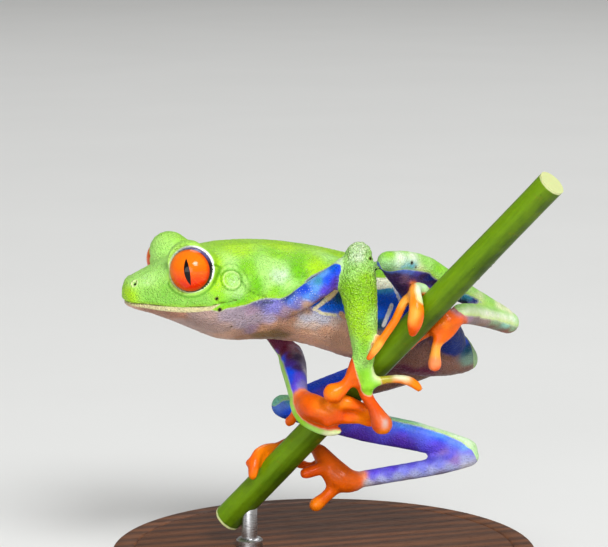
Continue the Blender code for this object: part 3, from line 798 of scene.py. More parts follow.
# on a limb a place is a share of its length and an angle, which runs from 0, facing the viewer, to 90 at its
# upper edge (its left edge where it hangs) and on round the back; green gives the green's span at a share
limbStyle = {
    "upper_arm_left": {
        "upper": (0, 0, 1), "radius": 1.85,
        "green": [
            (0, 40, 200), (0.4, 44, 200), (0.55, 78, 200), (0.8, 88, 200), (0.93, 68, 220), (1, 20, 230)],
        "over": {
            "leaf": [(0.2, 90), (0.7, 150)], "leafPale": [(0.5, 90), (0.75, 95)], "mintWhite": [(1.0, 60)]},
        "under": {
            "lilacPink": [(0.05, 30), (0.08, -10), (0.3, -35)], "tan": [(0.15, -60), (0.35, -70)],
            "violet": [(0.2, 36), (0.72, -30)], "lilac": [(0.25, 5), (0.45, -15)],
            "navy": [(0.4, 38), (0.3, -140), (0.8, -140)], "softBlue": [(0.42, 15), (0.6, -35)],
            "pinkTan": [(0.5, -45)], "royal": [(0.55, 55), (0.58, 20), (0.8, 10), (0.94, 10), (1.0, -40)],
            "sky": [(0.57, -5), (0.66, 50), (0.68, 5), (0.8, 50)], "wine": [(0.62, -75), (0.85, -70)],
            "teal": [(0.72, 30)], "deepPurple": [(0.84, -30)], "flankBlue": [(0.92, 50)]}},
    "forearm_left": {
        "upper": (-1, 0, 0), "radius": 2.5,
        "green": [(0, -150, 150), (0.15, -110, 135), (0.5, -80, 118), (0.85, -80, 112), (1, -80, 110)],
        "over": {
            "white": [(0, 0)],
            "leafPale": [
                (0.05, 60), (0.04, -60), (0.1, -20), (0.13, 20), (0.6, -60), (0.85, 45), (1.0, 10)],
            "mintWhite": [(0.03, 30)],
            "lime": [(0.2, -30), (0.3, 30), (0.4, -50), (0.45, 70), (0.65, 30), (0.75, 0)],
            "leafYellow": [(0.5, 0)], "leaf": [(0.88, 0)]},
        "under": {
            "softBlue": [(0.2, 180)], "violet": [(0.5, 180)], "iris": [(0.8, 180), (0.5, 135)],
            "pinkWhite": [(0.3, -100)], "cream": [(0.7, -95), (0.95, -100)], "orange": [(1.0, 160)]}},
    "upper_arm_right": {
        "upper": (-1, 0, 0), "radius": 1.9,
        "green": [(0, 110, 230), (0.5, 96, 230), (1, 76, 215)],
        "over": {"leaf": [(0.5, 150)]},
        "under": {
            "plum": [(0.2, 0), (0.5, -90)], "maroon": [(0.6, 30), (0.8, 60), (0.9, 0)],
            "violet": [(0.95, 62), (0.5, -150)], "wine": [(0.9, -50)]}},
    "forearm_right": {
        "upper": (-1, 0, 0), "radius": 1.7,
        "green": [(0, 72, 215), (0.15, 58, 210), (0.4, 50, 205), (0.7, 46, 200), (1, 40, 200)],
        "over": {"leafDeep": [(0, 80)], "leafPale": [(0.4, 70), (0.8, 60)], "leaf": [(0.5, 150)]},
        "under": {
            "maroon": [(0, 10), (0.15, 25), (0.35, 15)], "wine": [(0.02, -40), (0.2, -25)],
            "royal": [(0.35, 42), (0.6, 38), (0.7, 12), (0.85, 30)], "plum": [(0.4, -20), (0.62, -15)],
            "greyLilac": [(0.15, -65), (0.45, -62)], "deepPurple": [(0.52, 15)],
            "violet": [(0.75, -22), (0.88, 0), (1.05, 20), (0.6, -130)], "iris": [(0.75, -55)],
            "whiteLilac": [(0.2, -88), (0.6, -88)], "lilac": [(0.92, -40), (1.05, -20)]}},
    "thigh_left": {
        "upper": (0, 0, 1), "radius": 2.4,
        "green": [(0, 110, 140), (0.5, 115, 150), (1, 110, 150)],
        "over": {"leaf": [(0.5, 130)]},
        "under": {
            "navy": [(0.1, 0), (0.3, 150)],
            "plum": [
                (0.3, 20), (0.5, 0), (0.7, -10), (0.82, -20), (0.86, 25), (0.95, -30), (0.7, 150),
                (0.7, -90), (0.5, -150)],
            # on this thigh, iris at 30 degrees and periwinkle at 10 degrees are a painted highlight, and
            # night at 60 and 40 degrees is painted shade
            "iris": [(0.66, 30)], "night": [(0.7, 60), (0.78, 40), (0.85, -50), (1.0, -10)],
            "periwinkle": [(0.76, 10)], "plumGrey": [(0.92, 0), (0.94, 35)], "teal": [(1.0, 50)],
            "bellyBrown": [(0.3, -90)]}},
    "shank_left": {
        "upper": (0, 0, 1), "radius": 1.6,
        "green": [
            (0, -90, 180), (0.08, -50, 170), (0.16, -34, 160), (0.3, -27, 150), (0.42, -15, 150),
            (0.65, 4, 145), (0.78, 8, 140), (0.9, 20, 140), (1, -10, 150)],
        "over": {
            # white near the knee end is a painted highlight
            "leaf": [(0, 60), (0.35, 30), (0.5, 40)], "white": [(0.06, 25), (0.14, 30)],
            "mintWhite": [(0.06, -12)], "cyan": [(0.08, -34), (0.14, -22)], "greySage": [(0.0, -60)],
            "leafPale": [(0.12, 75), (0.24, 60), (0.24, 20), (0.36, -12), (0.68, 60), (0.8, 40)],
            "cream": [(0.22, -14), (0.7, 22), (0.92, 40), (1, 20)]},
        "under": {
            "softBlue": [(0.14, -48), (0.3, 180)], "iris": [(0.24, -34)],
            "plum": [(0.26, -60), (0.5, -40), (0.66, -50)],
            "navy": [(0.34, -34), (0.68, -22), (0.8, -30)], "night": [(0.38, -60)],
            "teal": [(0.64, -6), (0.78, -4), (0.9, 5)], "violet": [(0.7, 180), (0.3, -120)]}},
    "tarsus_left": {
        "upper": (0, 0, 1), "radius": 1.6,
        "green": [(0, -10, 140), (0.3, -4, 125), (0.9, -4, 115), (1.1, 5, 110)],
        # the white strip at 26 degrees along the top is a painted highlight
        "over": {"leafPale": [(0.0, 70)] + [(k / 8, 66) for k in range(1, 9)],
                 "mintWhite": [(0.06, 24)], "white": [(k / 8, 26) for k in range(1, 9)],
                 "cream": [(k / 8, 0) for k in range(1, 9)], "leaf": [(0.5, 110)]},
        "under": {
            "sage": [(0.05, -30), (0.42, -18)], "mint": [(0.2, -20)],
            "brown": [(0.2, -52), (0.42, -50), (0.62, -58)], "pinkGrey": [(0.62, -22), (0.82, -22)],
            "lilacPink": [(0.96, -16)], "orange": [(1.02, -55)], "redBrown": [(0.02, -66), (0.1, -66)],
            "iris": [(0.5, 170)], "plumGrey": [(0.5, -110)]}},
    "thigh_right": {
        "upper": (0, 0, 1), "radius": 2.5,
        "green": [(0, 105, 140), (0.5, 110, 140), (1, 105, 150)],
        "over": {"leaf": [(0.5, 130)]},
        "under": {
            "bellyBrown": [(0.15, 0), (0.3, 20), (0.3, -50), (0.5, -40)], "night": [(0.5, 30)],
            "royal": [(0.72, 60), (0.8, 20), (0.92, 50)], "violet": [(0.9, 0), (0.5, -140)],
            "plum": [(0.8, -60)], "navy": [(0.5, 170)]}},
    "shank_right": {
        "upper": (0, 0, 1), "radius": 2.1,
        "green": [
            (-0.07, -60, 250), (-0.035, 0, 220), (-0.01, 40, 200), (0.05, 54, 190), (0.2, 58, 165),
            (0.6, 58, 160), (0.86, 56, 165), (0.97, 40, 180), (1.0, 20, 190), (1.03, -30, 200),
            (1.05, -100, 220)],
        "over": {
            "cyan": [(-0.06, 0)], "mint": [(0, 60), (0.03, 60), (0.3, 70), (0.6, 70)],
            "mintWhite": [(0.85, 70), (1.0, 40), (1.06, 0)], "leaf": [(0.5, 120)]},
        "under": {
            "softBlue": [(0.0, 10), (0.08, 20), (0.94, 20)], "cyan": [(0.02, 40)],
            "royal": [(0.04, -20), (0.4, 24), (0.64, 26), (0.84, 24)], "navy": [(0.1, -35), (0.06, -60)],
            "sky": [(0.4, 44), (0.64, 42), (0.84, 40), (0.99, 0)],
            "violet": [(0.4, 2), (0.64, 6), (0.84, 0), (0.84, -30), (0.5, -140)],
            "deepPurple": [(0.42, -30), (0.42, -62), (0.64, -22), (0.66, -60)],
            "mauve": [(0.88, -58), (0.98, -45)], "iris": [(0.94, -20)]}},
    "tarsus_right": {
        "upper": (0, 0, 1), "radius": 1.45,
        "green": [
            (-0.07, -100, 200), (-0.045, -30, 200), (-0.02, 110, 150), (0.5, 112, 150), (1, 115, 140)],
        "over": {"mintWhite": [(-0.06, 0)], "leaf": [(0.5, 130)]},
        "under": {
            "periwinkle": [(0.02, 40), (0.32, 18), (0.48, 16), (0.64, 16)],
            "paleLilac": [(0.05, -10), (0.2, -30), (0.36, -24), (0.52, -24), (0.68, -24), (0.84, -22)],
            "whiteLilac": [(0.05, -50), (0.98, -24)],
            "iris": [(0.18, 40), (0.36, 54), (0.54, 50), (0.8, 18), (0.94, 14)], "mauve": [(0.16, 8)],
            "greyLilac": [(0.3, -62), (0.6, -62), (0.88, -60)],
            "violet": [(0.72, 50), (0.9, 46), (0.3, 170)], "salmon": [(1.04, 20)],
            "pinkWhite": [(1.04, -20)]}},
}
handDabs = {
    "hand_left": {
        "deepOrange": [
            (3.6, -15.6, -12.4), (5.2, -15.4, -16.8), (6.6, -15.6, -19.1), (6.4, -15.9, -21.6)],
        "oliveGold": [(8.0, -16.2, -14.2)], "ochre": [(8.0, -15.9, -15.2)],
        "cream": [(10.2, -16.4, -14.1)],
        "lightOrange": [
            (10.0, -16.3, -15.0), (12.6, -16.9, -15.6), (0.2, -15.2, -16.0), (7.8, -16.2, -22.8),
            (9.9, -10.4, -10.2)],
        "orange": [
            (3.2, -15.4, -13.4), (2.2, -15.0, -15.3), (0.9, -14.4, -17.4), (7.8, -16.5, -20.1),
            (8.7, -16.2, -21.4), (6.9, -16.3, -21.2), (6.0, -10.4, -8.8)],
        # pinkWhite on the finger disc is a painted highlight
        "pinkWhite": [(7.8, -16.5, -21.2)]},
    "hand_right": {
        "salmon": [(-2.6, -4.6, -18.0)],
        "orange": [
            (-2.2, -6.0, -18.4), (-1.2, -7.8, -18.8), (4.0, -11.2, -21.4), (7.4, -11.6, -21.9),
            (4.9, -12.8, -18.8), (-2.0, -0.8, -23.0)],
        "lightOrange": [
            (0.4, -10.2, -19.2), (2.0, -12.4, -18.0), (5.4, -11.2, -21.8), (6.8, -12.8, -20.4)],
        "deepOrange": [
            (0.2, -10.4, -21.6), (-1.4, -8.4, -20.6), (2.4, -11.4, -20.6), (-0.6, -9.2, -22.0),
            (1.6, -10.2, -22.4)]},
    "foot_left": {
        "lilacPink": [(20.2, -17.0, -4.6)],
        "orange": [
            (19.6, -17.2, -5.8), (17.8, -17.8, -5.4), (16.4, -17.4, -7.0), (18.0, -17.8, -7.4),
            (4.3, -18.8, -10.9), (11.4, -22.4, -4.2), (15.9, -17.4, -8.4), (13.0, -13.6, -9.0)],
        "lightOrange": [
            (17.2, -17.8, -6.2), (12.4, -18.0, -2.4), (9.4, -19.4, -4.0), (7.6, -18.9, -7.2),
            (11.4, -22.0, -2.2)],
        # painted highlights on the toes
        "paintedHighlightOrange": [(10.2, -19.6, -2.2), (5.9, -19.0, -9.4), (10.2, -22.6, -3.4), (15.9, -17.6, -9.9)],
        "deepOrange": [(10.6, -21.6, -6.6), (16.2, -18.0, -13.2)], "salmon": [(15.6, -18.3, -12.2)]},
    "foot_right": {
        "pinkWhite": [(10.4, -0.1, -34.0)],
        "orange": [(9.6, -0.2, -34.0), (-0.8, 4.8, -27.8), (-8.0, 3.0, -30.7), (4.0, 6.2, -33.0)],
        "burnt": [
            (8.4, -0.4, -33.6), (7.0, -0.2, -35.0), (6.2, 0.6, -32.8), (4.6, 2.4, -30.6),
            (4.4, 1.4, -36.6)],
        "deepOrange": [(0.9, 1.0, -32.1)],
        "lightOrange": [(2.8, 1.2, -38.0), (-3.2, 3.6, -28.8), (-5.4, 2.6, -29.8), (-6.7, 2.0, -32.7)]}}
# green on hands and feet
handGreens = {
    "hand_left": {
        "line": [(4.8, -16.0, -10.2), (5.0, -16.1, -13.0), (5.7, -16.0, -15.5)], "halfWidth": 1.62,
        "tints": {
            "leafPale": [(4.6, -16.3, -11.4)], "leaf": [(5.0, -16.3, -13.4), (5.8, -16.2, -15.6)],
            "cream": [(6.6, -15.8, -13.2)]}},
    "hand_right": {
        "line": [
            (-3.2, -4.4, -19.4), (-3.0, -6.6, -21.9), (-1.2, -8.3, -23.5), (0.8, -9.0, -24.2),
            (2.4, -9.6, -24.1)],
        "halfWidth": 0.82,
        "tints": {
            "leafPale": [(-3.2, -5.0, -19.6), (-1.2, -8.3, -23.5)], "leaf": [(-3.0, -6.6, -21.9)],
            "cream": [(1.6, -9.4, -24.2)]}},
    "foot_left": {
        "line": [(14.2, -17.4, -0.4), (12.8, -18.2, 0.3), (11.9, -20.4, -0.4), (11.8, -21.4, -1.2)],
        "halfWidth": 0.85,
        "tints": {
            "mintWhite": [(13.6, -17.8, 0.2)], "white": [(11.9, -20.4, -0.4)],
            "cream": [(11.6, -21.6, -1.4)]}}}


def alongLine(line, points):  # share of the length, nearest place on the line and local direction
    line = np.asarray(line, float)
    steps = np.linalg.norm(np.diff(line, axis=0), axis=1)
    before = np.concatenate(([0], np.cumsum(steps)[:-1]))
    best, share = np.full(len(points), 1e9), np.zeros(len(points))
    place, way = np.zeros((len(points), 3)), np.zeros((len(points), 3))
    beyond, last = 9, len(steps) - 1  # the share runs on past both ends
    for index, length in enumerate(steps):
        direction = (line[index + 1] - line[index]) / length
        reach = (points - line[index]) @ direction
        past = np.clip(reach, -beyond * (index == 0), length + beyond * (index == last))
        foot = line[index] + np.clip(reach, 0, length)[:, None] * direction
        distance = np.linalg.norm(points - foot, axis=1)
        closer = distance < best
        best[closer] = distance[closer]
        share[closer] = (before[index] + past[closer]) / steps.sum()
        place[closer] = foot[closer]
        way[closer] = direction
    return share, place, way


def limbAngles(name, points):
    share, place, way = alongLine(limbs[name], points)
    front = facing - way * (way @ facing)[:, None]
    front /= np.linalg.norm(front, axis=1)[:, None]
    side = np.cross(way, front)
    side *= np.where(side @ np.asarray(limbStyle[name]["upper"], float) < 0, -1.0, 1.0)[:, None]
    out = points - place
    return share, np.degrees(np.arctan2((out * side).sum(1), (out * front).sum(1)))


def dabPlaces(name, layer):  # dabs of a limb, as places on its surface
    style = limbStyle[name]
    line = np.asarray(limbs[name], float)
    steps = np.concatenate(([0], np.cumsum(np.linalg.norm(np.diff(line, axis=0), axis=1))))
    places = []
    for paint, share, angle in ((paint, *spot) for paint, spots in style[layer].items() for spot in spots):
        place = np.array([np.interp(share * steps[-1], steps, line[:, k]) for k in range(3)])
        _, _, way = alongLine(line, place[None, :])
        front = unit(facing - way[0] * (way[0] @ facing))
        side = np.cross(way[0], front)
        side = side if side @ np.asarray(style["upper"], float) > 0 else -side
        a = math.radians(angle)
        places.append((place + style["radius"] * (front * math.cos(a) + side * math.sin(a)), paint))
    return places


def dabbed(points, dabs, sharp=2.2):
    total, weight = np.zeros((len(points), 3)), np.zeros(len(points))
    for place, paint in dabs:
        w = 1.0 / (((points - place) ** 2).sum(1) + 0.12) ** sharp
        total += w[:, None] * paints[paint]
        weight += w
    return total / weight[:, None]


def bodyPlaces(body, dabs):
    return [(onSkin(body, x, z), paint) for paint, spots in dabs.items() for x, z in spots]


def spread(dabs):
    return [(place, paint) for paint, places in dabs.items() for place in places]


def paintSkin():
    under, over = np.zeros((len(points), 3)), np.tile(paints["leaf"], (len(points), 1))
    green = np.full(len(points), -3.0)
    near = mirrored(points)
    body = isNode(owner, "head", "trunk")
    under[body] = dabbed(near[body], bodyPlaces(body, bodyDabs), 2.6)
    over[body] = dabbed(near[body], bodyPlaces(body, backDabs))
    borderX, borderZ = zip(*borderLine)
    green[body] = near[body, 2] - np.interp(near[body, 0], borderX, borderZ)
    for name, style in limbStyle.items():
        mine = isNode(owner, name)
        share, angle = limbAngles(name, points[mine])
        under[mine] = dabbed(points[mine], dabPlaces(name, "under"), 3.0)
        over[mine] = dabbed(points[mine], dabPlaces(name, "over"), 1.8)
        stations, starts, ends = zip(*style["green"])
        low, high = np.interp(share, stations, starts), np.interp(share, stations, ends)
        turn = (angle - (low + high) / 2 + 180) % 360 - 180
        green[mine] = ((high - low) / 2 - np.abs(turn)) * math.pi / 180 * style["radius"]
    for name, dabs in handDabs.items():
        mine = isNode(owner, name)
        under[mine] = dabbed(points[mine], spread(dabs), 3.0)
        if name in handGreens:
            patch = handGreens[name]
            green[mine] = patch["halfWidth"] - lineDistance(points[mine], patch["line"])
            over[mine] = dabbed(points[mine], spread(patch["tints"]), 3.0)
    green = relax(np.clip(green, -3, 3), edges, 4, 0.5)
    return relax(under, edges, 3, 0.5), relax(over, edges, 4, 0.5), green


def barField():
    near = mirrored(points)
    best, tint = np.full(len(points), -3.0), np.ones((len(points), 3))
    mine = isNode(owner, "trunk") & (near[:, 1] < -1.5)
    for line, width, paint in flankBars:
        flat = [(x, 0.0, z) for x, z in line]
        depth = width - lineDistance(near * (1, 0, 1), flat)
        deeper = mine & (depth > best)
        best[deeper] = depth[deeper]
        tint[deeper] = colour(*paint)[:3]
    return best, tint


# place and radius
specks = [
    ((-16.9, -9.0, -1.7), 0.3), ((-16.5, -9.2, -3.4), 0.36), ((-14.4, -8.3, -6.3), 0.2),
    ((-8.1, -8.4, 0.9), 0.2), ((-5.3, -8.2, 1.9), 0.16), ((11.9, -16.8, 3.6), 0.3),
    ((12.7, -16.3, 2.8), 0.22), ((5.5, -15.7, 4.4), 0.3)]
# pale patches, partly the skin's own pale wrinkles and spots, partly painted highlight: place, reach and
# strength
paleSpotsAndHighlights = [
    ((-6.6, -8.2, 1.5), 2.6, 0.5), ((4.0, -14.3, 6.0), 2.2, 0.45), ((-26.2, -3.2, 1.0), 1.8, 0.25),
    ((-14.3, -8.7, 1.1), 1.6, 0.5), ((-13.5, -9.0, -1.0), 1.4, 0.4), ((9.6, -17.6, 3.2), 1.7, 0.5)]


def lidFields():  # distance outwards from the lid's edge, and how white the edge is there: the lid's own pale margin, made whiter and wider to the rear and top as a painted highlight
    rim, white = np.full(len(points), 9.0), np.zeros(len(points))
    for side, eye in eyes.items():
        along, across, angle, _ = aroundEye(points, eye)
        mine = (along > -1.5) & (np.linalg.norm(points - eye["centre"], axis=1) < 5.2)
        limit = lidEdge(side, angle)
        beyond, below = across - eyeRadius * np.sin(limit), np.minimum(along - eyeRadius * np.cos(limit), 0)
        rim[mine] = np.where(beyond < 0, beyond, np.hypot(beyond, below))[mine]
        # whiter towards the rear and top: painted highlight on the lid's own pale margin
        rear, top = np.maximum(np.cos(angle - 0.5), 0) ** 2, np.maximum(np.sin(angle), 0)
        white[mine] = (0.4 + 0.5 * rear + 0.1 * top)[mine]
    return rim, white


under, over, green = paintSkin()
near = mirrored(points)
rim, rimWhite = lidFields()
bar, barTint = barField()
onHead, besideHead = isNode(owner, "head"), near[:, 1] < -5.5
crease = near[:, 2] - np.interp(near[:, 0], mouthX, mouthZ)
mouthEnd = np.maximum(near[:, 0] + 13.8, 0)
lipDepth = np.interp(near[:, 0], (-29.4, -28.5, -26.8, -24.8, -19.9, -18.0, -16.6, -15.6),
                     (0.1, 0.4, 0.68, 0.76, 0.8, 0.66, 0.3, -0.2))
frostWay = (near - (-4.6, -10.6, -2.0)) / (8.0, 5.6, 3.4)  # frosting on the shoulder and the upper arm
onFrost = isNode(owner, "trunk", "upper_arm_left") & (points[:, 1] < -5)
# the line of the painted shade in the crease under the shoulder fold
shoulderLine = [(x, y, z - 0.3) for x, y, z in headMarks["shoulderEdge"][:5]]
fields = {
    "green": green, "bar": bar, "rim": rim, "rimWhite": rimWhite, "grain": grainField,
    "armGrain": armGrain,
    "mouth": np.where(onHead, np.hypot(crease, mouthEnd), 9.0),
    "lip": np.where(onHead, np.minimum(-crease, crease + lipDepth), -3.0),
    "lobe": np.where(besideHead, lineDistance(near * (1, 0, 1), headMarks["lobe"]), 9.0),
    "fold": np.where(onHead, lidSpan(restPoints), 9.0),
    # drumFold: distance from the fold over the drum, used for the painted shadow line beside it
    "drumFold": np.where(near[:, 0] < -11.0, lineDistance(near, headMarks["drumFold"]), 9.0),
    "frost": smoothStep(1.1, 0.4, np.linalg.norm(frostWay, axis=1)) * onFrost,
    "speck": np.min([np.linalg.norm(points - place, axis=1) - size for place, size in specks], axis=0),
    "shoulder": np.where(isNode(owner, "trunk"), lineDistance(near, shoulderLine), 9.0),
    # pale: the skin's own pale spots, partly painted highlight
    "pale": np.max([strength * smoothStep(reach, reach * 0.3, np.linalg.norm(near - place, axis=1))
                    for place, reach, strength in paleSpotsAndHighlights], axis=0),
}
for name in ("drum", "nostril", "noseDot"):
    fields[name] = np.linalg.norm(restNear - headMarks[name], axis=1)
for name, values in fields.items():
    skinMesh.attributes.new(name, "FLOAT", "POINT").data.foreach_set("value", np.asarray(values, np.float32))
for name, values in (("under", under), ("over", over), ("barTint", barTint)):
    tint = np.column_stack((values, np.ones(len(values)))).astype(np.float32)
    skinMesh.attributes.new(name, "FLOAT_COLOR", "POINT").data.foreach_set("color", tint.ravel())
writePoints(skinMesh, toFrame(points))
skinMesh.shade_smooth()
skin = bpy.data.objects.new("frogSkin", skinMesh)
scene.collection.objects.link(skin)
print("skin painted:", len(skinMesh.vertices), "points")


skinLook = {
    "shader": {"Subsurface_Weight": 0.1, "Subsurface_Scale": 0.0006, "Subsurface_Radius": (1.0, 0.7, 0.35),
               "Coat_Weight": 0.1, "Coat_Roughness": 0.2, "IOR": 1.4, "Specular_IOR_Level": 0.16},
    "patchScale": 260.0, "pebbleScale": 3000.0, "poreScale": 5600.0, "softScale": 900.0,
    "frostScale": 2700.0, "paleScale": 2500.0, "armScale": 3100.0,
    "roughness": (0.34, 0.5), "bump": 0.0002, "coat": (0.28, 0.06),  # coat: on smooth skin, on granular skin
    "flankShades": ((0.8, 0.8, 0.82, 1), (1.14, 1.12, 1.1, 1)),
    "leafShades": ((0.82, 0.9, 0.7, 1), (1.12, 1.05, 1.1, 1)), "dotTint": (0.86, 0.84, 0.86, 1),
    # armTop and armGapShade tint the elbow granules: pale tops, partly painted highlight, and painted shade
    # in the gaps
    "frost": (206, 212, 240), "net": (206, 238, 140), "pale": (226, 242, 214), "armTop": (222, 244, 170),
    "armGapShade": (96, 154, 12), "leafEdge": (176, 212, 40), "trim": (216, 226, 176), "lip": (208, 199, 150),
    "mouth": (74, 66, 18), "lidGreen": (176, 226, 92), "socket": (26, 18, 40), "nostrilRim": (226, 232, 176),
    # rimRear: the whiter rear and top of the lid's edge, partly painted highlight
    "rimFront": (218, 240, 176), "rimRear": (236, 240, 236),
    # soft rings: mark, radius, outer and inner half width in mm, strength and colour
    "rings": [
        # the second drum ring, dark green outside the pale ring, is painted shadow in the groove round the
        # drum
        ("drum", 1.26, 0.2, 0.04, 0.55, (206, 238, 150)), ("drum", 1.62, 0.24, 0.04, 0.5, (80, 146, 16)),
        # the fold ring is painted shade in the groove below and behind each eye
        ("drum", 0.35, 0.16, 0.03, 0.3, (120, 160, 50)), ("fold", 0.0, 0.36, 0.04, 0.7, (70, 138, 10)),
        # the shoulder ring is painted shade in the crease under the shoulder fold; the drumFold ring is a
        # painted shadow line beside the fold over the drum
        ("shoulder", 0.0, 0.34, 0.06, 0.6, (52, 76, 60)), ("drumFold", 0.46, 0.3, 0.05, 0.3, (86, 150, 20)),
        # the lobe ring is painted shadow along the lobe groove
        ("lobe", 0.0, 0.3, 0.05, 0.5, (66, 122, 10))],
    # spots: mark, outer and inner edge in mm, strength and colour
    # the nostril spot is painted shade, near black, in the nostril's dent
    "spots": [("nostril", 0.32, 0.2, 1.0, (16, 16, 6)), ("noseDot", 0.3, 0.1, 0.6, (96, 80, 24)),
              ("speck", 0.16, 0.0, 0.5, (110, 84, 30)), ("speck", 0.02, -0.12, 1.0, (22, 18, 10))],
}


def makeSkinMaterial():
    look = skinLook
    material, tree, shader = newMaterial("treeFrogSkin", **look["shader"])
    place = objectPlace(tree)
    body = grain(tree, place, look["patchScale"], look["pebbleScale"])
    soft = cloud(tree, place, look["softScale"], 3.0)
    grainy, onArm = field(tree, "grain"), field(tree, "armGrain")

    def over(base, mask, tint):  # lays a named colour over the base where the mask is
        return blendColours(tree, mask, base, colour(*look[tint]))

    def ring(base, name, radius, outer, inner, strength, tint):
        far = maths(tree, "ABSOLUTE", minus(tree, field(tree, name), radius))
        return blendColours(tree, fade(tree, far, outer, inner, 0.0, strength), base, colour(*tint))

    def shaded(name, shades):  # a stored colour, mottled
        mottle = blendColours(tree, body["Patches"], *shades)
        return blendColours(tree, 1.0, field(tree, name, "Color"), mottle, "MULTIPLY")

    # sides, belly and limbs
    base = shaded("under", look["flankShades"])
    dots = times(tree, times(tree, body["Tops"], grainy), 0.2)
    dotTint = blendColours(tree, 0.5, field(tree, "under", "Color"), look["dotTint"])
    base = blendColours(tree, dots, base, dotTint)
    frostCells = fade(tree, cells(tree, place, look["frostScale"]), 0.3, 0.14)
    flecks = times(tree, frostCells, fade(tree, soft, 0.35, 0.6, 0.4, 1.0))
    base = over(base, times(tree, field(tree, "frost"), flecks), "frost")
    bar = wander(tree, field(tree, "bar"), soft, 0.35)
    base = blendColours(tree, fade(tree, bar, -0.08, 0.16), base, field(tree, "barTint", "Color"))
    # green back
    leaf = shaded("over", look["leafShades"])
    netting = fade(tree, cloud(tree, place, 420.0, 3.0), 0.35, 0.65, 0.25, 0.75)
    leaf = over(leaf, times(tree, times(tree, body["Tops"], grainy), netting), "net")
    # pale patches on the green: partly the skin's own pale spots, partly painted highlight
    palePores = fade(tree, cells(tree, place, look["paleScale"]), 0.5, 0.2, 0.35, 1.0)
    paleMist = times(tree, fade(tree, cloud(tree, place, 1100.0, 4.0, 0.7), 0.36, 0.6), palePores)
    leaf = over(leaf, times(tree, field(tree, "pale"), paleMist), "pale")
    armCells = cells(tree, place, look["armScale"])
    # elbow granules: pale tops, partly painted highlight, and painted shade in the gaps between them
    leaf = over(leaf, times(tree, onArm, fade(tree, armCells, 0.3, 0.08, 0.0, 0.6)), "armTop")
    leaf = over(leaf, times(tree, onArm, fade(tree, armCells, 0.34, 0.6, 0.0, 0.38)), "armGapShade")
    edge = wander(tree, field(tree, "green"), soft, 0.3)
    leaf = over(leaf, fade(tree, edge, 0.7, 0.05, 0.0, 0.35), "leafEdge")
    base = over(base, times(tree, fade(tree, edge, -0.3, -0.12), 0.4), "trim")
    base = blendColours(tree, fade(tree, edge, -0.06, 0.06), base, leaf)
    # marks on the head
    for mark in look["rings"]:
        base = ring(base, *mark)
    base = over(base, fade(tree, wander(tree, field(tree, "lip"), soft, 0.12), -0.04, 0.08), "lip")
    # a dark line along the mouth: painted shade in the mouth's groove
    base = over(base, fade(tree, field(tree, "mouth"), 0.17, 0.03, 0.0, 0.85), "mouth")
    rimFar, rimWidth = field(tree, "rim"), field(tree, "rimWhite")
    rimEnd = times(tree, rimWidth, 0.56)
    base = over(base, fade(tree, rimFar, 0.8, 0.4, 0.0, 0.55), "lidGreen")
    # the lid's pale edge, turning whiter to the rear as a painted highlight
    rimTint = over(colour(*look["rimFront"]), fade(tree, rimWidth, 0.4, 0.6), "rimRear")
    base = blendColours(tree, fade(tree, rimFar, rimEnd, times(tree, rimEnd, 0.5)), base, rimTint)
    base = over(base, fade(tree, rimFar, 0.01, -0.03), "socket")
    base = ring(base, "nostril", 0.5, 0.2, 0.05, 0.6, look["nostrilRim"])
    for name, outer, inner, strength, tint in look["spots"]:
        mask = fade(tree, field(tree, name), outer, inner, 0.0, strength)
        base = blendColours(tree, mask, base, colour(*tint))
    tree.links.new(base, shader.inputs["Base Color"])
    # surface
    tree.links.new(fade(tree, soft, 0.3, 0.7, *look["roughness"]), shader.inputs["Roughness"])
    tree.links.new(fade(tree, grainy, 0.12, 0.4, *look["coat"]), shader.inputs["Coat Weight"])
    pores = times(tree, times(tree, cells(tree, place, look["poreScale"]), grainy), -0.5)
    height = plus(tree, times(tree, body["Pebbles"], grainy), pores)
    height = plus(tree, height, times(tree, cloud(tree, place, 2600.0, 4.0, 0.6), 0.25))
    height = plus(tree, height, times(tree, times(tree, onArm, armCells), -1.6))
    bump(tree, shader, height, look["bump"])
    return material


skin.data.materials.append(makeSkinMaterial())
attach(skin, "root")
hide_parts(*fleshNodes)


# ---------- eyes
eyePlan = {  # in mm on the face of the ball
    "iris": 3.17, "front": 0.945, "irisDown": 0.1,  # front: below 1, the iris reaches further to the snout
    "pupil": (0.24, -0.345), "tilt": 4.5, "halfHeight": 2.12, "frontWidth": 0.5, "rearWidth": 0.44,
    "sides": 96, "rings": 64, "spread": 8.0,  # spread: width of the UV square
    "irisLow": (232, 40, 0), "irisHigh": (252, 116, 2), "fibre": (255, 146, 20), "fleck": (224, 60, 0),
    # limbusSheen: the dark band round the iris is painted lighter purple at its top as a reflection
    "irisEdge": (190, 26, 0), "limbusLow": (16, 10, 22), "limbusSheen": (88, 72, 128),
    "limbusInner": (14, 8, 18), "pupilTint": (8, 5, 8),
}


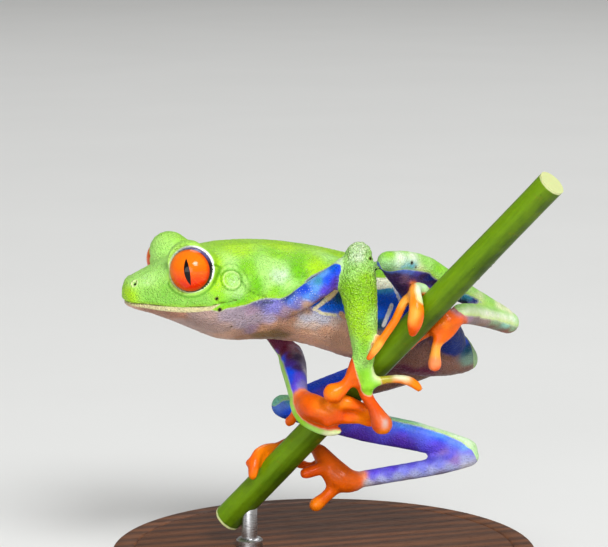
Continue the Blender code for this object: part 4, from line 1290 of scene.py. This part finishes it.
def makeEyeMaterial():
    material, tree, shader = newMaterial("glassyEye", Roughness=0.3, IOR=1.4, Specular_IOR_Level=0.05,
                                         Coat_Weight=0.5, Coat_Roughness=0.04)
    tint = {name: colour(*eyePlan[name]) for name in (
        "irisLow", "irisHigh", "fibre", "fleck", "irisEdge", "limbusLow", "limbusSheen", "limbusInner",
        "pupilTint")}
    flat = tree.nodes.new("ShaderNodeUVMap")
    flat.uv_map = "eyeFace"
    parts = tree.nodes.new("ShaderNodeSeparateXYZ")
    tree.links.new(flat.outputs["UV"], parts.inputs["Vector"])
    x, level = (times(tree, minus(tree, parts.outputs[axis], 0.5), eyePlan["spread"]) for axis in ("X", "Y"))
    y = plus(tree, level, eyePlan["irisDown"])
    irisX = maths(tree, "MAXIMUM", x, times(tree, x, eyePlan["front"]))
    r = maths(tree, "SQRT", plus(tree, times(tree, irisX, irisX), times(tree, y, y)))
    spoke = tree.nodes.new("ShaderNodeCombineXYZ")  # fibres run out from the middle
    outwards = plus(tree, r, 0.2)
    feed(tree, spoke.inputs["X"], times(tree, maths(tree, "DIVIDE", x, outwards), 9.0))
    feed(tree, spoke.inputs["Y"], times(tree, maths(tree, "DIVIDE", y, outwards), 9.0))
    feed(tree, spoke.inputs["Z"], times(tree, r, 0.9))
    fibres = cloud(tree, spoke.outputs["Vector"], 1.6, 4.0, 0.6)
    flecks = cloud(tree, spoke.outputs["Vector"], 5.0, 3.0, 0.7)
    iris = blendColours(tree, fade(tree, y, -2.6, 1.4), tint["irisLow"], tint["irisHigh"])
    iris = blendColours(tree, fade(tree, fibres, 0.5, 0.75, 0.0, 0.4), iris, tint["fibre"])
    iris = blendColours(tree, fade(tree, flecks, 0.55, 0.75, 0.0, 0.35), iris, tint["fleck"])
    iris = blendColours(tree, fade(tree, r, 2.75, 3.15, 0.0, 0.6), iris, tint["irisEdge"])
    # painted reflection: the dark band turns purple towards its top
    limbus = blendColours(tree, fade(tree, y, 0.6, 2.2), tint["limbusLow"], tint["limbusSheen"])
    rim = eyePlan["iris"]
    limbus = blendColours(tree, fade(tree, r, rim + 0.1, rim + 0.02), limbus, tint["limbusInner"])
    base = blendColours(tree, fade(tree, r, rim - 0.04, rim + 0.05), iris, limbus)
    # spindle pupil, a little tilted, fuller on its front side
    turnCos, turnSin = math.cos(math.radians(eyePlan["tilt"])), math.sin(math.radians(eyePlan["tilt"]))
    px = minus(tree, x, eyePlan["pupil"][0])
    py = minus(tree, y, eyePlan["pupil"][1] + eyePlan["irisDown"])
    across = plus(tree, times(tree, px, turnCos), times(tree, py, turnSin))
    lengthwise = minus(tree, times(tree, py, turnCos), times(tree, px, turnSin))
    share = maths(tree, "DIVIDE", lengthwise, eyePlan["halfHeight"])
    taper = minus(tree, 1.0, times(tree, share, share))
    front = plus(tree, across, times(tree, taper, eyePlan["frontWidth"]))
    rear = minus(tree, times(tree, taper, eyePlan["rearWidth"]), across)
    slit = fade(tree, maths(tree, "MINIMUM", front, rear), -0.03, 0.05)
    base = blendColours(tree, slit, base, tint["pupilTint"])
    tree.links.new(base, shader.inputs["Base Color"])
    bump(tree, shader, fibres, 0.00002)
    return material


def outwardFaces(mesh):
    shape = bmesh.new()
    shape.from_mesh(mesh)
    bmesh.ops.recalc_face_normals(shape, faces=shape.faces)
    shape.to_mesh(mesh)
    shape.free()
    mesh.shade_smooth()


def makeEye(side, material):
    eye = eyes[side]
    mesh = bpy.data.meshes.new("eye_" + side)
    local, faces = ballForm((0, 0, 0), eyeRadius, eyePlan["sides"], eyePlan["rings"])
    world = (eye["centre"] + local[:, :1] * eye["rear"] + local[:, 1:2] * eye["up"]
             + local[:, 2:] * eye["axis"])
    mesh.from_pydata(toFrame(world).tolist(), [], faces)
    uv = mesh.uv_layers.new(name="eyeFace")
    corner = np.empty(len(mesh.loops), int)
    mesh.loops.foreach_get("vertex_index", corner)
    uv.data.foreach_set("uv", (local[corner, :2] / eyePlan["spread"] + 0.5).ravel())
    outwardFaces(mesh)
    mesh.materials.append(material)
    ball = bpy.data.objects.new("eye_" + side + "_ball", mesh)
    scene.collection.objects.link(ball)
    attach(ball, "root")
    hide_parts("eye_" + side)


eyeMaterial = makeEyeMaterial()
for side in eyes:
    makeEye(side, eyeMaterial)
print("eyes set")


# ---------- perch
stemPlan = {  # lengths in mm on the bench
    "start": np.array((-8.6, 8.6, -39.3)), "direction": unit((0.447, -0.544, 0.710)),
    "from": -2.5, "to": 80.0, "radiusLow": 2.36, "radiusHigh": 2.14,
    "ridges": 11, "ridgeDepth": 0.02, "lenticels": 26.0,
    "steps": 110, "sides": 88, "bead": 0.14, "beadShape": (0.7, 1.3, 0.45), "beadDensity": 1500.0, "seed": 5,
    "swell": 0.22, "swellMiddle": 0.62, "swellScale": 60.0,
    "lightFrom": unit((-0.55, -0.25, 0.8)),  # the side painted lighter, as if lit from there; the far side is painted in shade
    # painted light and shade: the first pair of greens is for the side facing lightFrom, shadeDark and
    # shadePale for the side away from it
    "paintedLitDark": (98, 138, 0), "paintedLitPale": (116, 158, 2), "shadeDark": (44, 64, 2), "shadePale": (56, 80, 2),
    "patch": (122, 158, 4), "rust": (128, 112, 12), "cut": (206, 214, 150),
}


def treeNode(tree, kind, settings=None, **inputs):
    node = tree.nodes.new(kind)
    for name, value in (settings or {}).items():
        setattr(node, name, value)
    for name, value in inputs.items():
        feed(tree, node.inputs[name.replace("_", " ")], value)
    return node


def makeStemMaterial():
    material, tree, shader = newMaterial("freshStem", Roughness=0.5, Specular_IOR_Level=0.22,
                                         Subsurface_Weight=0.05, Subsurface_Scale=0.0008)
    tint = {name: colour(*stemPlan[name]) for name in (
        "paintedLitDark", "paintedLitPale", "shadeDark", "shadePale", "patch", "rust", "cut")}
    turn = Vector(stemPlan["direction"]).to_track_quat("Z", "Y").inverted().to_euler()
    place = objectPlace(tree, (1.0, 1.0, 1.0), tuple(turn))
    streaked = tree.nodes.new("ShaderNodeMapping")
    tree.links.new(place, streaked.inputs["Vector"])
    streaked.inputs["Scale"].default_value = (1.0, 1.0, 0.12)
    marks = grain(tree, place, 160.0, 1500.0)
    streaks = cloud(tree, streaked.outputs["Vector"], 2600.0, 4.0, 0.65)
    streaky = fade(tree, streaks, 0.2, 0.8)
    above = blendColours(tree, streaky, tint["paintedLitDark"], tint["paintedLitPale"])
    below = blendColours(tree, streaky, tint["shadeDark"], tint["shadePale"])
    # painted light and shade: lighter where the surface faces lightFrom, darker away from it
    base = blendColours(tree, fade(tree, field(tree, "upward"), -0.35, 1.0), below, above)
    base = blendColours(tree, times(tree, marks["Patches"], 0.3), base, tint["patch"])
    rusty = fade(tree, cloud(tree, place, 420.0, 4.0, 0.7), 0.6, 0.75, 0.0, 0.6)
    base = blendColours(tree, rusty, base, tint["rust"])
    base = blendColours(tree, fade(tree, field(tree, "cutFace"), 0.4, 0.6), base, tint["cut"])
    tree.links.new(base, shader.inputs["Base Color"])
    tree.links.new(fade(tree, streaks, 0.3, 0.7, 0.36, 0.55), shader.inputs["Roughness"])
    bump(tree, shader, plus(tree, streaks, times(tree, marks["Pebbles"], 0.3)), 0.00006)
    return material


def makeStemTree(material):
    tree = bpy.data.node_groups.new("stemMaker", "GeometryNodeTree")
    for name, kind, value in (
            ("Start", "Vector", (0, 0, 0)), ("End", "Vector", (0, 0, 1)), ("Low Radius", "Float", 0.0024),
            ("High Radius", "Float", 0.0022), ("Ridges", "Float", 11.0), ("Ridge Depth", "Float", 0.00004),
            ("Lenticels", "Float", 26.0)):
        tree.interface.new_socket(name, in_out="INPUT", socket_type="NodeSocket" + kind).default_value = value
    tree.interface.new_socket("Geometry", in_out="OUTPUT", socket_type="NodeSocketGeometry")
    given, out = tree.nodes.new("NodeGroupInput").outputs, tree.nodes.new("NodeGroupOutput")
    # a straight line whose radius runs from low to high, with a little swelling
    line = treeNode(tree, "GeometryNodeCurvePrimitiveLine", Start=given["Start"], End=given["End"])
    fineLine = treeNode(tree, "GeometryNodeResampleCurve", Curve=line.outputs["Curve"],
                        Count=stemPlan["steps"])
    share = treeNode(tree, "GeometryNodeSplineParameter").outputs["Factor"]
    wobble = treeNode(tree, "ShaderNodeTexNoise", Scale=stemPlan["swellScale"], Detail=2.0).outputs["Fac"]
    swell = times(tree, minus(tree, wobble, stemPlan["swellMiddle"]), stemPlan["swell"] * mm)
    taper = times(tree, share, minus(tree, given["High Radius"], given["Low Radius"]))
    width = plus(tree, plus(tree, taper, given["Low Radius"]), swell)
    sized = treeNode(tree, "GeometryNodeSetCurveRadius", Curve=fineLine.outputs["Curve"], Radius=width)
    # a ridged ring carried along it
    ring = treeNode(tree, "GeometryNodeCurvePrimitiveCircle", Resolution=stemPlan["sides"], Radius=1.0)
    ringShare = treeNode(tree, "GeometryNodeSplineParameter").outputs["Factor"]
    wave = maths(tree, "COSINE", times(tree, times(tree, ringShare, given["Ridges"]), 2 * math.pi))
    depth = maths(tree, "DIVIDE", given["Ridge Depth"], given["Low Radius"])
    grownOut = treeNode(tree, "ShaderNodeVectorMath", {"operation": "SCALE"})
    tree.links.new(treeNode(tree, "GeometryNodeInputPosition").outputs[0], grownOut.inputs[0])
    tree.links.new(minus(tree, 1.0, times(tree, depth, plus(tree, wave, 1.0))), grownOut.inputs["Scale"])
    ridged = treeNode(tree, "GeometryNodeSetPosition", Geometry=ring.outputs["Curve"],
                      Position=grownOut.outputs["Vector"])
    body = treeNode(tree, "GeometryNodeCurveToMesh", Curve=sized.outputs["Curve"],
                    Profile_Curve=ridged.outputs["Geometry"], Fill_Caps=True)
    if "Scale" in body.inputs:
        feed(tree, body.inputs["Scale"], treeNode(tree, "GeometryNodeInputRadius").outputs[0])
    # small raised pores scattered over it
    spots = treeNode(tree, "GeometryNodeDistributePointsOnFaces", Mesh=body.outputs["Mesh"],
                     Density=times(tree, given["Lenticels"], stemPlan["beadDensity"]), Seed=stemPlan["seed"])
    bead = treeNode(tree, "GeometryNodeMeshIcoSphere", Radius=stemPlan["bead"] * mm, Subdivisions=2)
    dots = treeNode(tree, "GeometryNodeInstanceOnPoints", Points=spots.outputs["Points"],
                    Instance=bead.outputs["Mesh"], Rotation=spots.outputs["Rotation"])
    squat = treeNode(tree, "GeometryNodeScaleInstances", Instances=dots.outputs["Instances"],
                     Scale=stemPlan["beadShape"])
    plain = treeNode(tree, "GeometryNodeRealizeInstances", Geometry=squat.outputs["Instances"])
    joined = tree.nodes.new("GeometryNodeJoinGeometry")
    tree.links.new(body.outputs["Mesh"], joined.inputs[0])
    tree.links.new(plain.outputs["Geometry"], joined.inputs[0])
    smooth = treeNode(tree, "GeometryNodeSetShadeSmooth", Geometry=joined.outputs["Geometry"])
    painted = treeNode(tree, "GeometryNodeSetMaterial", Geometry=smooth.outputs["Geometry"],
                       Material=material)
    tree.links.new(painted.outputs["Geometry"], out.inputs[0])
    return tree


def grown(name, tree, values):  # the tree's result as a plain mesh
    holder = bpy.data.objects.new(name, bpy.data.meshes.new(name))
    scene.collection.objects.link(holder)
    maker = holder.modifiers.new("maker", "NODES")
    maker.node_group = tree
    for item in tree.interface.items_tree:
        if item.item_type == "SOCKET" and item.in_out == "INPUT" and item.name in values:
            maker[item.identifier] = values[item.name]
    holder.update_tag()
    mesh = bpy.data.meshes.new_from_object(holder.evaluated_get(bpy.context.evaluated_depsgraph_get()))
    bpy.data.objects.remove(holder)
    piece = bpy.data.objects.new(name, mesh)
    scene.collection.objects.link(piece)
    return piece


stemEnds = [tuple(float(c) for c in toFrame(stemPlan["start"] + stemPlan["direction"] * stemPlan[end]))
            for end in ("from", "to")]
stem = grown("perchStem", makeStemTree(makeStemMaterial()), {
    "Start": stemEnds[0], "End": stemEnds[1], "Low Radius": stemPlan["radiusLow"] * mm,
    "High Radius": stemPlan["radiusHigh"] * mm, "Ridges": float(stemPlan["ridges"]),
    "Ridge Depth": stemPlan["ridgeDepth"] * mm, "Lenticels": stemPlan["lenticels"]})
lengthways = (toBench(readPoints(stem.data)) - stemPlan["start"]) @ stemPlan["direction"]
atEnd = np.minimum(lengthways - stemPlan["from"], stemPlan["to"] - lengthways) < 1e-3
# how much each point faces lightFrom, which drives the stem's painted light and shade
for name, values in (("upward", readNormals(stem.data) @ stemPlan["lightFrom"]), ("cutFace", atEnd)):
    stem.data.attributes.new(name, "FLOAT", "POINT").data.foreach_set("value", values.astype(np.float32))
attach(stem, "root")
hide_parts("perch_stem")
print("stem grown:", len(stem.data.polygons), "faces")


# ---------- stand
standPlan = {  # in mm
    "sides": 128, "edge": 0.7, "grooveDepth": 0.25, "grooveIn": 3.5, "grooveHalf": 0.3,
    "rodSides": 40, "collar": 0.9, "collarTop": 1.4,
}


def turnedPiece(name, profile, centre, sides, material):  # profile: (radius, height) in mm, ends on the axis
    points, faces, rings = [], [], profile[1:-1]
    for radius, height in rings:
        points += [(centre[0] + radius * math.cos(a), centre[1] + radius * math.sin(a), height)
                   for a in ringAngles(sides)]
    for ring in range(len(rings) - 1):
        low = ring * sides
        faces += [(low + s, low + (s + 1) % sides, low + sides + (s + 1) % sides, low + sides + s)
                  for s in range(sides)]
    points += [(centre[0], centre[1], profile[0][1]), (centre[0], centre[1], profile[-1][1])]
    bottom, top, last = len(points) - 2, len(points) - 1, (len(rings) - 1) * sides
    faces += [(bottom, (s + 1) % sides, s) for s in range(sides)]
    faces += [(top, last + s, last + (s + 1) % sides) for s in range(sides)]
    mesh = bpy.data.meshes.new(name)
    mesh.from_pydata((np.array(points) * mm).tolist(), [], faces)
    outwardFaces(mesh)
    mesh.set_sharp_from_angle(angle=math.radians(40))
    mesh.materials.append(material)
    piece = bpy.data.objects.new(name, mesh)
    scene.collection.objects.link(piece)
    return piece


def makeWoodMaterial():
    material, tree, shader = newMaterial("oiledWalnut", Roughness=0.5, Specular_IOR_Level=0.25)
    lengthwise = objectPlace(tree, (14.0, 160.0, 60.0))
    rings = tree.nodes.new("ShaderNodeTexWave")
    rings.wave_type, rings.bands_direction = "BANDS", "Y"
    for name, value in (("Scale", 0.55), ("Distortion", 5.0), ("Detail", 4.0), ("Detail Scale", 1.4),
                        ("Detail Roughness", 0.6)):
        rings.inputs[name].default_value = value
    tree.links.new(lengthwise, rings.inputs["Vector"])
    pores = cloud(tree, objectPlace(tree, (400.0, 5200.0, 2400.0)), 1.0, 3.0, 0.6)
    marks = grain(tree, objectPlace(tree), 60.0, 900.0)
    base = blendColours(tree, rings.outputs["Fac"], colour(70, 38, 18), colour(118, 70, 36))
    base = blendColours(tree, times(tree, marks["Patches"], 0.35), base, colour(96, 62, 38))
    base = blendColours(tree, fade(tree, pores, 0.58, 0.72, 0.0, 0.55), base, colour(40, 24, 14))
    tree.links.new(base, shader.inputs["Base Color"])
    tree.links.new(fade(tree, pores, 0.4, 0.7, 0.45, 0.62), shader.inputs["Roughness"])
    bump(tree, shader, minus(tree, 1.0, fade(tree, pores, 0.55, 0.72)), 0.00004)
    return material


def makeSteelMaterial():
    material, tree, shader = newMaterial("brushedSteel", Metallic=1.0, Roughness=0.3)
    brushed = cloud(tree, objectPlace(tree, (900.0, 900.0, 12000.0)), 1.0, 3.0, 0.6)
    marks = grain(tree, objectPlace(tree), 120.0, 1800.0)
    base = blendColours(tree, fade(tree, brushed, 0.3, 0.7), colour(170, 172, 174), colour(212, 213, 214))
    base = blendColours(tree, times(tree, marks["Patches"], 0.15), base, colour(150, 152, 156))
    tree.links.new(base, shader.inputs["Base Color"])
    tree.links.new(fade(tree, brushed, 0.3, 0.7, 0.24, 0.4), shader.inputs["Roughness"])
    bump(tree, shader, brushed, 0.00001)
    return material


baseLow, baseHigh = (np.array(corner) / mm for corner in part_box("stand_base"))
baseCentre, baseRadius, baseTop = (baseLow + baseHigh) / 2, (baseHigh - baseLow)[0] / 2, baseHigh[2]
edge, grooveAt, grooveHalf = standPlan["edge"], baseRadius - standPlan["grooveIn"], standPlan["grooveHalf"]
bevel = [(baseRadius - edge * (1 - math.sin(a)), baseTop - edge * (1 - math.cos(a)))
         for a in np.linspace(math.pi / 2, 0, 7)]
baseProfile = [(0, 0), (baseRadius - 0.5, 0), (baseRadius - 0.12, 0.12), (baseRadius, 0.5)] + bevel + [
    (grooveAt + grooveHalf, baseTop), (grooveAt, baseTop - standPlan["grooveDepth"]),
    (grooveAt - grooveHalf, baseTop), (2.2, baseTop), (0, baseTop)]
stand = turnedPiece("standBase", baseProfile, baseCentre, standPlan["sides"], makeWoodMaterial())
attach(stand, "root")
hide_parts("stand_base")
rodLow, rodHigh = (np.array(corner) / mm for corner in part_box("stand_rod"))
rodCentre, rodRadius = (rodLow + rodHigh) / 2, (rodHigh - rodLow)[0] / 2
collarRadius, collarTop = rodRadius + standPlan["collar"], baseTop + standPlan["collarTop"]
rodProfile = [
    (0, rodLow[2]), (rodRadius, rodLow[2]), (rodRadius, baseTop + 0.05), (collarRadius, baseTop + 0.05),
    (collarRadius, collarTop - 0.4), (collarRadius - 0.3, collarTop - 0.1), (rodRadius, collarTop),
    (rodRadius, rodHigh[2] - 0.4), (rodRadius * 0.9, rodHigh[2] - 0.1), (0, rodHigh[2])]
rod = turnedPiece("standRod", rodProfile, rodCentre, standPlan["rodSides"], makeSteelMaterial())
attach(rod, "root")
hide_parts("stand_rod")
print("stand made")


# ---------- floor
def makeFloor():
    size = 3.0  # half width in metres
    mesh = bpy.data.meshes.new("studioFloor")
    corners = [(-size, -size, 0), (size, -size, 0), (size, size, 0), (-size, size, 0)]
    mesh.from_pydata(corners, [], [(0, 1, 2, 3)])
    material, tree, shader = newMaterial("paperFloor", Roughness=0.8)
    mist = cloud(tree, objectPlace(tree), 14.0, 3.0)
    base = blendColours(tree, mist, (0.78, 0.79, 0.78, 1), (0.82, 0.83, 0.82, 1))
    tree.links.new(base, shader.inputs["Base Color"])
    mesh.materials.append(material)
    floor = bpy.data.objects.new("studioFloor", mesh)
    scene.collection.objects.link(floor)


makeFloor()
print("all pieces placed")
